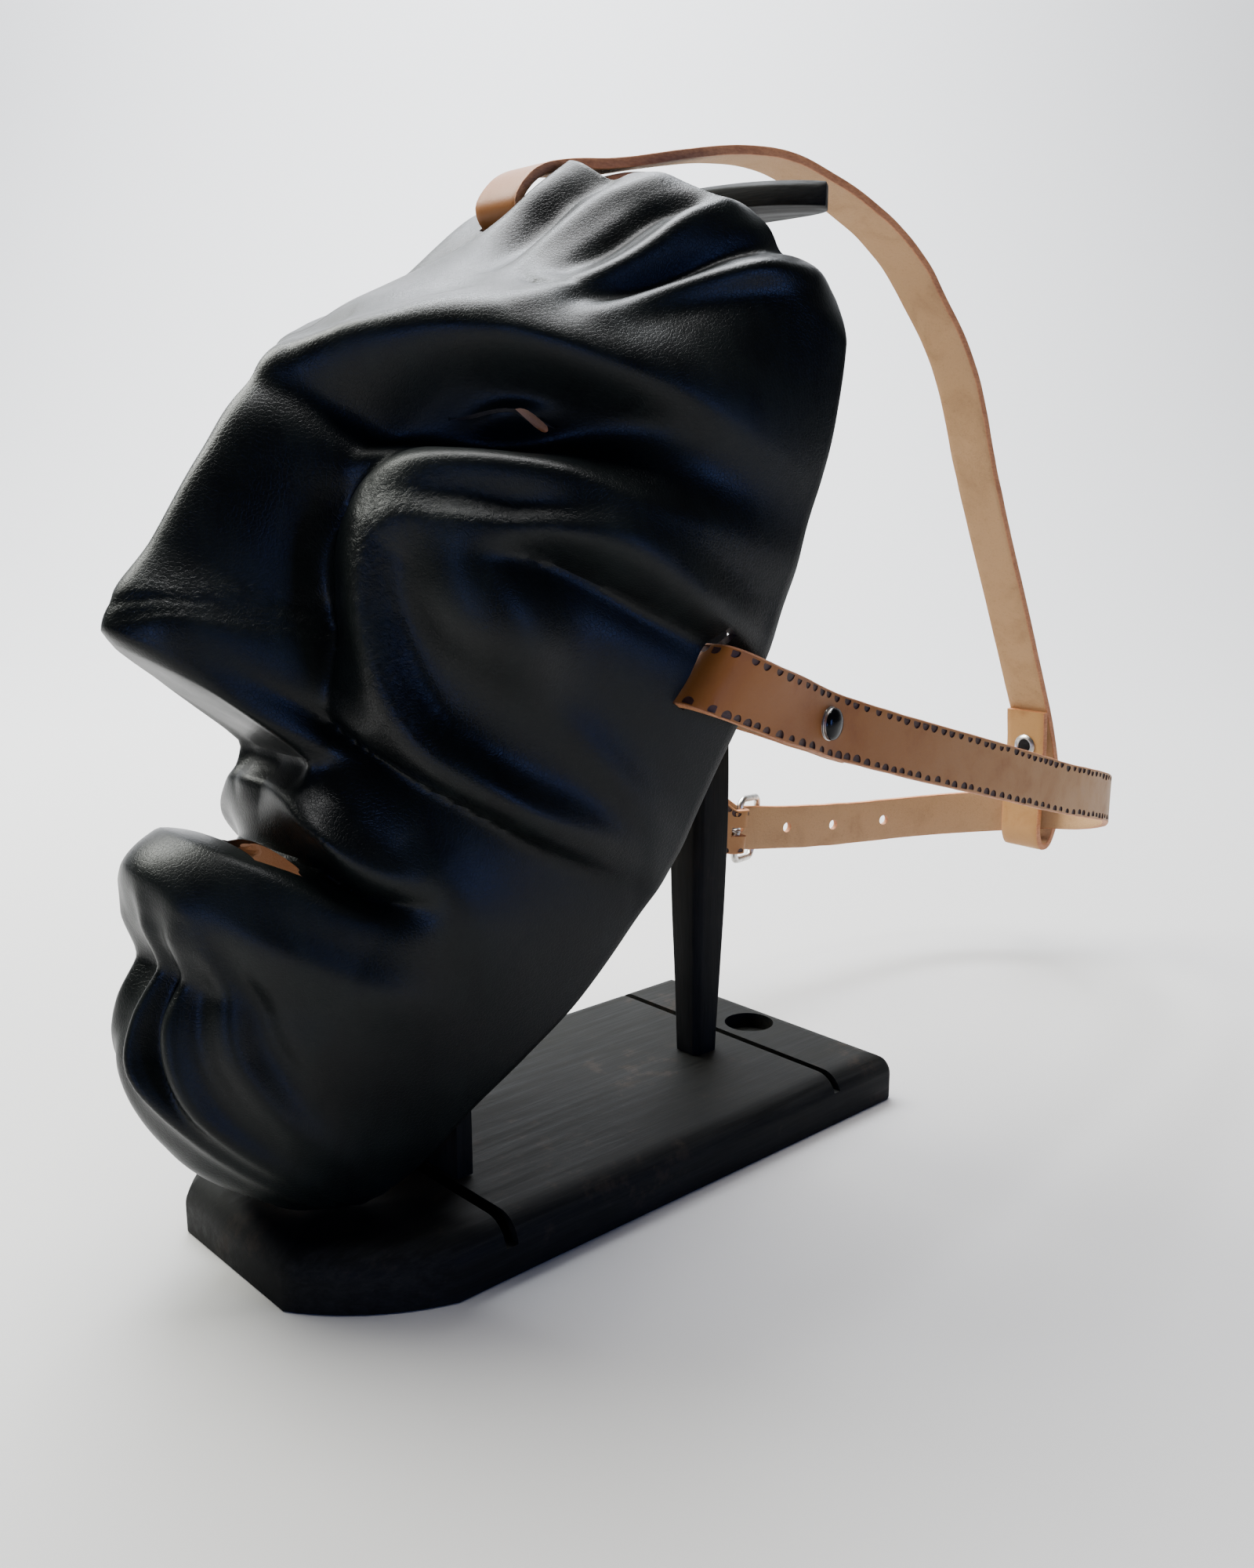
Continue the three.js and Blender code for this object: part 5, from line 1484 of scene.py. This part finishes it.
def tube(points: np.ndarray, radius: float, normal: np.ndarray, sides: int,
         closed: bool = False) -> Shape:
    """A round wire through points in one plane.

    Args:
        points: The wire's points.
        radius: Its radius.
        normal: The plane's normal.
        sides: Sides of its section.
        closed: Whether its end joins its start.

    Returns:
        The shape.
    """
    if closed:
        way = np.roll(points, -1, axis=0) - np.roll(points, 1, axis=0)
    else:
        way = np.gradient(points, axis=0)
    side = unit(np.cross(np.broadcast_to(normal, way.shape), way))
    angles = np.arange(sides) / sides * 2 * math.pi
    rings = (points[:, None] + radius * (side[:, None] * np.cos(angles)[None, :, None]
                                         + normal[None, None] * np.sin(angles)[None, :, None]))
    return loft(rings, closed=closed)


def lathe(profile: Rows, origin: np.ndarray, axis: np.ndarray, sides: int) -> Shape:
    """A turned solid.

    Args:
        profile: Radius and height of each ring, from the axis at one end to the axis at the other.
        origin: Where the axis starts.
        axis: Its direction.
        sides: Sides of a ring.

    Returns:
        The shape.
    """
    helper = np.array([0.0, 0, 1]) if abs(axis[2]) < 0.8 else np.array([1.0, 0, 0])
    first = unit(np.cross(helper, axis))
    second = np.cross(axis, first)
    angles = np.arange(sides) / sides * 2 * math.pi
    rings = np.array([[origin + axis * height + radius * (first * math.cos(a) + second * math.sin(a))
                       for a in angles] for radius, height in profile])
    return loft(rings)


@dataclass
class Snap:
    """A press snap: a domed cap on a ring, or a flat ring with a black disc in its middle as painted shade
    in its hole.
    """

    name: str
    node: str
    centre: np.ndarray
    axis: np.ndarray
    domed: bool = True
    thick: float = STRAP_THICK
    radius: float = 5.0
    ring: float = 5.7
    gap: float = 0.05
    dome_start: float = 1.6
    dome_height: float = 2.0
    sides: int = 40

    def build(self) -> bpy.types.Object:
        """Makes the snap."""
        lift = self.thick / 2 + self.gap
        wall = self.radius + 0.1
        profile = [[0.01, 0], [5.2, 0], [self.ring - 0.6, 0.1], [self.ring - 0.4, 0.55], [wall, 0.75]]
        if self.domed:
            enamel_and_shade_from = len(profile)
            profile += [[wall, 1.5]]
            profile += [[self.radius * math.cos(a), self.dome_start + self.dome_height * math.sin(a)]
                        for a in np.linspace(0.15, math.pi / 2 - 0.02, 9)]
        else:
            profile += [[4.6, 1.3], [4.1, 1.5], [3.5, 1.2]]
            # The flat ring's middle is a black disc: painted shade where its hole would be
            enamel_and_shade_from = len(profile)
            profile += [[3.1, 0.6], [1.2, 0.6], [0.01, 0.6]]
        shape = lathe(profile, self.centre + self.axis * lift, self.axis, self.sides)
        rings = [int(ring >= enamel_and_shade_from) for ring in range(len(profile) - 1)]
        shape.finish = [*np.repeat(rings, self.sides), 0, 1]
        piece = make_object(self.name, shape, [NICKEL.material(), ENAMEL_AND_HOLE_SHADE.material()])
        shade(piece, 40)
        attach(piece, "root")
        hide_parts(self.node)
        return piece


@dataclass
class StrapWork:
    """The head strap, the buckle with its strap, the top strap and the snaps."""

    hole_places: tuple[float, ...] = (170.0, 198.0, 226.5, 256.0)
    hole_radius: float = 2.4
    hole_tool: float = 6.0
    hole_sides: int = 24
    ahead: float = 3.2
    half_length: float = 10.0
    half_height: float = 14.0
    corner: float = 4.0
    wire: float = 1.5
    front_in: float = 6.4
    rear_out: float = 3.3
    tail: tuple[float, ...] = (6.0, 13.0, 22.0)
    prong_radius: float = 0.8

    def __post_init__(self) -> None:
        """Works out the buckle's axes on the punched strap."""
        self.head = Band("head_strap_leather", "head_strap", HEAD_ROUTE, side_width, 1)
        self.hole, way, self.up, _ = self.far_frame(self.hole_places[0])
        self.rear = -way
        self.outward = np.cross(self.up, self.rear)
        tilt = math.asin((self.front_in + self.rear_out) / (2 * self.half_length))
        self.along = self.rear * math.cos(tilt) + self.outward * math.sin(tilt)
        self.middle = (self.hole + self.rear * self.ahead
                       + self.outward * (self.rear_out - self.front_in) / 2)
        self.bar = self.middle - self.along * self.half_length

    def frame_where(self, route: Rows, rule: WidthRule, wanted: float,
                    value: Callable[[np.ndarray], np.ndarray]) -> tuple[np.ndarray, ...]:
        """The frame of a route whose value is nearest to a wanted one."""
        frames = route_frames(route, 0.5, rule)
        return frames.at(int(np.argmin(np.abs(value(frames.points) - wanted))))

    def far_frame(self, y: float) -> tuple[np.ndarray, ...]:
        """The head strap's frame on the far side, at y."""
        return self.frame_where(HEAD_ROUTE, side_width, y,
                                lambda p: np.where(p[:, 0] < 0, p[:, 1], ELSEWHERE))

    def round_bar(self, radius: float, degrees: Sequence[float]) -> np.ndarray:
        """Points round the front bar, at angles from the outward side over the rear one."""
        angles = np.radians(degrees)[:, None]
        return self.bar + radius * (self.outward * np.cos(angles) + self.rear * np.sin(angles))

    def head_strap(self) -> bpy.types.Object:
        """The long strap with its punched holes."""
        holes = []
        for place in self.hole_places:
            point, _, _, out = self.far_frame(place)
            ends = [[self.hole_radius, -self.hole_tool], [self.hole_radius, self.hole_tool]]
            hole = lathe(ends, point, out, self.hole_sides)
            hole.finish = [StrapFace.EDGE] * len(hole.faces)
            holes.append(hole)
        return self.head.build(holes)

    def buckle_strap(self) -> bpy.types.Object:
        """The short strap, looped round the buckle's front bar."""
        radius = self.wire + GAP + STRAP_THICK / 2
        loop = self.round_bar(radius, range(0, 181, 20))
        tail = [loop[-1] - self.rear * back + self.up * back * TAIL_RISE * i
                for i, back in enumerate(self.tail)]
        route = [*BUCKLE_ROUTE, *loop, *tail]
        rule = lambda points: np.where(points[:, 1:2] > BUCKLE_Y, self.up[None], side_width(points))
        slot = plain_box(-SLOT_HALF, SLOT_HALF, StrapFace.EDGE)
        slot.points = self.bar + slot.points @ np.stack([self.rear, self.outward, self.up])
        return Band("buckle_strap_leather", "buckle_strap", route, rule, -1).build([slot])

    def top_strap(self) -> bpy.types.Object:
        """The strap over the head."""
        return Band("top_strap_leather", "top_strap", TOP_ROUTE, top_width, -1, False, TOP_THICK).build()

    def metal(self, name: str, node: str, shape: Shape) -> bpy.types.Object:
        """One metal piece of the buckle."""
        piece = make_object(name, shape, [NICKEL.material()])
        shade(piece, 50)
        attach(piece, "root")
        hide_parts(node)
        return piece

    def buckle_frame(self) -> bpy.types.Object:
        """A rounded rectangle of wire, standing in its own plane."""
        length, height = self.half_length - self.corner, self.half_height - self.corner
        points = []
        for sy, sz, quarter in ((1, 1, 0), (-1, 1, 1), (-1, -1, 2), (1, -1, 3)):
            for angle in np.linspace(quarter, quarter + 1, 8) * (math.pi / 2):
                y = sy * length + self.corner * math.cos(angle)
                z = sz * height + self.corner * math.sin(angle)
                points.append(self.middle + self.along * y + self.up * z)
        normal = np.cross(self.along, self.up)
        wire = tube(np.array(points), self.wire, normal, 16, closed=True)
        return self.metal("buckle_wire", "buckle_frame", wire)

    def prong(self) -> bpy.types.Object:
        """The prong, curled round the front bar and lying through the hole."""
        curl = self.round_bar(self.wire + GAP + self.prong_radius, [*range(-170, 31, 12), 50])
        rest = [self.hole + self.rear * back + self.outward * out for back, out in PRONG_STEPS]
        points = route_curve([*curl, *rest], 0.6)
        return self.metal("buckle_tongue", "buckle_prong", tube(points, self.prong_radius, self.up, 12))

    def snaps(self) -> list[bpy.types.Object]:
        """The near, the far and the rear snap."""
        near = self.frame_where(HEAD_ROUTE, side_width, NEAR_SNAP_Y,
                                lambda p: np.where(p[:, 0] > OUTER_RUN_X, p[:, 1], ELSEWHERE))
        far = self.frame_where(BUCKLE_ROUTE, side_width, FAR_SNAP_Y,
                               lambda p: np.where(p[:, 0] < -OUTER_RUN_X, p[:, 1], ELSEWHERE))
        front, back = LAST_RUN_Y
        rear = self.frame_where(TOP_ROUTE, top_width, REAR_SNAP_Z, lambda p: np.where(
            (p[:, 1] > front) & (p[:, 1] < back), p[:, 2], ELSEWHERE))
        made = []
        for name, node, at, towards, thick in (
                ("near_cap", "near_snap", near, (1, 0, 0), STRAP_THICK),
                ("far_cap", "far_snap", far, (-1, 0, 0), STRAP_THICK),
                ("rear_ring", "rear_snap", rear, (0, -1, 0), TOP_THICK)):
            out = at[3] * np.sign(at[3] @ np.array(towards, float))
            made.append(Snap(name, node, at[0], out, node != "rear_snap", thick).build())
        return made

    def build(self) -> list[bpy.types.Object]:
        """Makes every strap and fitting."""
        return [self.head_strap(), self.top_strap(), self.buckle_strap(), self.buckle_frame(),
                self.prong(), *self.snaps()]


# The stand


# Inset and height of the rounding at the board's underside
BOARD_FOOT = ((0.6, 0.0), (0.15, 0.25), (0, 0.7))
# Saw cuts across the board: y, width and depth
SAW_CUTS = ((-61, 4.5, 8), (86.7, 3, 6))
SAW_TOOL_HALF = 120
# The recess: x, y, radius and depth
RECESS = (2, 101.5, 9.5, 6)
POST_X = 6.5
POST_Y = 67.5
POST_TOP = 308.9
POST_WIDTH = curve_of([[BOARD_THICK, 12], [118, 17.6], [200.6, 15], [POST_TOP, 15]])
# Corners of the post's eight-sided section: signs of x and y, and whether x is the full half width
POST_CORNERS = (
    (-1, -1, 0), (1, -1, 0), (1, -1, 1), (1, 1, 1), (1, 1, 0), (-1, 1, 0), (-1, 1, 1), (-1, -1, 1),
)
POST_CHAMFER = 0.68
POST_WOBBLE = 0.02
POST_WOBBLE_LENGTH = 24
POST_SEED = 11
# Corners of the crosspiece's section: shares of its depth and of its height
CROSS_CORNERS = (
    (0, 0), (1, 0), (1, 0.76), (0.92, 0.93), (0.84, 1), (0.16, 1), (0.08, 0.93), (0, 0.76),
)
CROSS_FRONT_Y = 51.5
CROSS_FRONT_BEND = 5.5
CROSS_DEPTH = 32
CROSS_BOW = 0.93
CROSS_FRONT_HALF = 60
CROSS_REAR_HALF = 55.6
# The crosspiece's underside and top: height in the middle, and how far the ends drop
CROSS_LOW = (309.2, 3.6)
CROSS_TOP = (317.4, 4.6)
# The chin rest: half its width, its height, the rounding of its corners, and y of its faces
REST_HALF = 29.0
REST_HEIGHT = 48.0
REST_CORNER = 14.0
REST_FACES = (-58.4, -52.4)


@dataclass
class Stand:
    """The board, the post with its crosspiece, and the upright under the jaw."""

    width: float = 118.0
    length: float = 238.0
    top_round: float = 8.5
    back_round: float = 3.0
    clip_start: float = 80.0
    clip_half: float = 29.0
    clip_bulge: float = 4.0

    def dress(self, name: str, node: str, shape: Shape, finish: Finish, bevel: float,
              cutters: Sequence[Shape] = ()) -> bpy.types.Object:
        """Makes one wooden piece.

        Args:
            name: Its name.
            node: The CAD node it stands for.
            shape: Its shape.
            finish: Its finish.
            bevel: Width of its rounded edges.
            cutters: Shapes to take out of it.

        Returns:
            The object.
        """
        materials = [finish.material()]
        piece = make_object(name, shape, materials)
        if cutters:
            cut(piece, [make_object("cutter", s, materials) for s in cutters])
        if bevel:
            modifier = piece.modifiers.new("edges", "BEVEL")
            modifier.width = bevel * MM
            modifier.segments = 2
            modifier.limit_method = "ANGLE"
            modifier.angle_limit = math.radians(32)
            settle(piece)
        shade(piece, 40)
        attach(piece, "root")
        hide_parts(node)
        return piece

    def outline(self) -> np.ndarray:
        """The board's outline, with its clipped front corners."""
        half, front, back = self.width / 2, -self.length / 2, self.length / 2
        u = np.linspace(0, 1, 13)
        bulge = self.clip_bulge * 4 * u * (1 - u)
        clip = np.stack([self.clip_half + (half - self.clip_half) * u + bulge * 0.8,
                         front + (-self.clip_start - front) * u - bulge * 0.6], axis=1)
        near = np.concatenate([clip, [[half, back]]])
        return np.concatenate([near, (near * [-1, 1])[::-1]])

    def board(self) -> bpy.types.Object:
        """The board, with its two saw cuts and its round recess."""
        corners = self.outline()
        before = np.roll(corners, 1, axis=0)
        after = np.roll(corners, -1, axis=0)
        inward = lambda a, b: unit(np.stack([a[:, 1] - b[:, 1], b[:, 0] - a[:, 0]], axis=1))
        first, second = inward(before, corners), inward(corners, after)
        mitre = (first + second) / (1 + np.sum(first * second, axis=1, keepdims=True))
        rings = []
        levels = [*BOARD_FOOT]
        for a in np.linspace(0, math.pi / 2, 11):
            levels.append((self.top_round * (1 - math.cos(a)),
                           BOARD_THICK - self.top_round * (1 - math.sin(a))))
        middle = len(corners) // 2
        for inset, z in levels:
            flat = corners + mitre * inset
            back, radius = flat[middle - 1], max(self.back_round - inset, 0.05)
            right = back - radius * np.array([[0, 1], [0.3, 0.3], [1, 0]])
            left = (right * [-1, 1])[::-1]
            flat = np.concatenate([flat[:middle - 1], right, left, flat[middle + 1:]])
            rings.append(np.concatenate([flat, np.full((len(flat), 1), z)], axis=1))
        tools = [plain_box((-SAW_TOOL_HALF, y - w / 2, BOARD_THICK - deep),
                           (SAW_TOOL_HALF, y + w / 2, BOARD_THICK + deep)) for y, w, deep in SAW_CUTS]
        x, y, radius, deep = RECESS
        ends = [[radius, BOARD_THICK - deep], [radius, BOARD_THICK + deep]]
        tools.append(lathe(ends, np.array([x, y, 0.0]), np.array([0, 0, 1.0]), 48))
        return self.dress("board_wood", "base_board", loft(np.array(rings)), WOOD, 0, tools)

    def post(self) -> bpy.types.Object:
        """The whittled post."""
        levels = np.linspace(BOARD_THICK + GAP, POST_TOP, 60)
        half = POST_WIDTH(levels) / 2
        cut_at = half * POST_CHAMFER
        ring = []
        for k, (sx, sy, side) in enumerate(POST_CORNERS):
            noise = value_noise(levels / POST_WOBBLE_LENGTH, np.full_like(levels, k * 1.7), POST_SEED)
            wobble = 1 + POST_WOBBLE * noise
            x = np.where(side, half, cut_at) * sx * wobble
            y = np.where(side, cut_at, half) * sy * wobble
            ring.append(np.stack([POST_X + x, POST_Y + y, levels], axis=1))
        return self.dress("post_wood", "rear_post", loft(np.stack(ring, axis=1)), UPRIGHT_WOOD, 0.4)

    def crosspiece(self) -> bpy.types.Object:
        """The arched crosspiece with its obliquely cut ends."""
        u = np.linspace(-1, 1, 49)
        front = CROSS_FRONT_Y + CROSS_FRONT_BEND * u ** 4
        rear = CROSS_FRONT_Y + CROSS_DEPTH * np.sqrt(1 - (CROSS_BOW * u) ** 2)
        low, top = (middle - drop * u * u for middle, drop in (CROSS_LOW, CROSS_TOP))
        front_x, rear_x = POST_X + u * CROSS_FRONT_HALF, POST_X + u * CROSS_REAR_HALF
        ring = []
        for across, up in CROSS_CORNERS:
            ring.append(np.stack([front_x + (rear_x - front_x) * across,
                                  front + (rear - front) * across,
                                  low + (top - low) * up], axis=1))
        shape = loft(np.stack(ring, axis=1))
        return self.dress("crosspiece_wood", "top_crosspiece", shape, CROSS_WOOD, 0.7)

    def chin_rest(self) -> bpy.types.Object:
        """The upright under the jaw, with its top corners rounded off."""
        low = BOARD_THICK + GAP
        right = [(REST_HALF - REST_CORNER + REST_CORNER * math.cos(a),
                  REST_HEIGHT - REST_CORNER + REST_CORNER * math.sin(a))
                 for a in np.linspace(0, math.pi / 2, 10)]
        outline = [(-REST_HALF, 0), (REST_HALF, 0), *right, *[(-x, z) for x, z in right[::-1]]]
        rings = np.array([[(x, y, low + z) for x, z in outline] for y in REST_FACES])
        return self.dress("chin_rest_wood", "chin_rest", loft(rings), UPRIGHT_WOOD, 0.5)

    def build(self) -> list[bpy.types.Object]:
        """Makes the whole stand."""
        return [self.board(), self.post(), self.crosspiece(), self.chin_rest()]


# The studio


# Lights: name, place and aim in metres, side in metres, power in watts, colour
LIGHTS = (
    ("overhead", (-0.15, 0.1, 1.5), (0, 0, 0.2), 0.8, 34, (1, 1, 1)),
    ("left", (-0.95, -0.45, 1.3), (0, 0, 0.25), 0.9, 56, (0.98, 1.0, 0.93)),
    ("backdrop", (-0.9, 0.6, 1.9), (-1.8, 1.3, 0.5), 1.2, 190, (0.88, 0.93, 1.0)),
    ("cool_front", (0.9, -1.4, 0.12), (0, -0.05, 0.17), 0.4, 7, (0.2, 0.34, 1.0)),
    ("cool_right", (1.5, 0.35, 0.3), (0, -0.05, 0.17), 0.4, 5, (0.2, 0.34, 1.0)),
)


@dataclass
class Studio:
    """The pale floor, the lights and the camera."""

    eye: tuple[float, float, float] = (356.4, -289.9, 229.7)
    yaw: float = 47.354
    pitch: float = 12.456
    lens: float = 32.74
    sensor: float = 36.0
    sky: Colour = (0.9, 0.94, 1.0, 1.0)
    sky_strength: float = 0.06
    floor_centre: tuple[float, float, float] = (0, 80.0, 0)
    floor_front: float = -1500.0
    floor_bend: float = 900.0
    floor_top: float = 3000.0
    floor_half: float = 3500.0

    def floor(self) -> None:
        """A pale floor that rises into a backdrop."""
        turn = math.radians(self.yaw)
        right = np.array([math.cos(turn), math.sin(turn), 0])
        forward = np.array([-math.sin(turn), math.cos(turn), 0])
        bend = self.floor_bend
        profile = [(self.floor_front, 0.0), (bend, 0.0)]
        profile += [(bend + bend * math.sin(a), bend - bend * math.cos(a))
                    for a in np.linspace(0.1, math.pi / 2, 12)]
        profile.append((2 * bend, self.floor_top))
        points = [np.array(self.floor_centre) + forward * p + right * side + np.array([0, 0, z])
                  for side in (-self.floor_half, self.floor_half) for p, z in profile]
        n = len(profile)
        faces = [[n + i, i, i + 1, n + i + 1][::-1] for i in range(n - 1)]
        floor = make_object("floor", Shape(np.array(points), faces), [PaleFloor().material()])
        floor.data.shade_smooth()
        floor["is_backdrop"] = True

    def light(self, name: str, place: Sequence[float], aim: Sequence[float], size: float,
              power: float, colour: Sequence[float]) -> None:
        """Adds one soft light.

        Args:
            name: Its name.
            place: Where it stands, in metres.
            aim: What it points at, in metres.
            size: Its side, in metres.
            power: Its power in watts.
            colour: Its colour.
        """
        data = bpy.data.lights.new(name, "AREA")
        data.shape = "SQUARE"
        data.size = size
        data.energy = power
        data.color = colour
        lamp = bpy.data.objects.new(name, data)
        lamp.location = place
        lamp.rotation_euler = (Vector(aim) - Vector(place)).to_track_quat("-Z", "Y").to_euler()
        bpy.context.scene.collection.objects.link(lamp)

    def world(self) -> None:
        """A pale even surround."""
        world = bpy.data.worlds.new("surround")
        world.use_nodes = True
        graph = NodeGraph(world.node_tree)
        background = graph.out("ShaderNodeBackground", None,
                               {"Color": self.sky, "Strength": self.sky_strength})
        graph.node("ShaderNodeOutputWorld", None, {"Surface": background})
        bpy.context.scene.world = world

    def camera(self) -> None:
        """The camera at the photograph's place."""
        turn, dip = math.radians(self.yaw), math.radians(self.pitch)
        forward = Vector((-math.sin(turn) * math.cos(dip), math.cos(turn) * math.cos(dip),
                          -math.sin(dip)))
        right = Vector((math.cos(turn), math.sin(turn), 0))
        up = right.cross(forward)
        data = bpy.data.cameras.new("camera")
        data.sensor_fit = "VERTICAL"
        data.sensor_height = self.sensor
        data.lens = self.lens
        data.clip_end = 50
        camera = bpy.data.objects.new("camera", data)
        rotation = Matrix((right, up, -forward)).transposed().to_4x4()
        camera.matrix_world = Matrix.Translation(Vector(self.eye) * MM) @ rotation
        bpy.context.scene.collection.objects.link(camera)
        bpy.context.scene.camera = camera

    def build(self) -> None:
        """Sets up the whole studio."""
        self.floor()
        self.world()
        for light in LIGHTS:
            self.light(*light)
        self.camera()


def main() -> None:
    """Builds the mask, its straps, its stand and the studio."""
    logging.basicConfig(level=logging.INFO, format="%(name)s: %(message)s")
    pieces = [Mask().build(), *StrapWork().build(), *Stand().build()]
    for piece in pieces:
        LOG.info("%s: %d faces", piece.name, len(piece.data.polygons))
    Studio().build()
    plain = lambda box: [[float(v) for v in corner] for corner in box]
    {"cad": plain(CAD_BOUNDS), "visual": plain(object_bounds())}


if __name__ == "__main__":
    main()
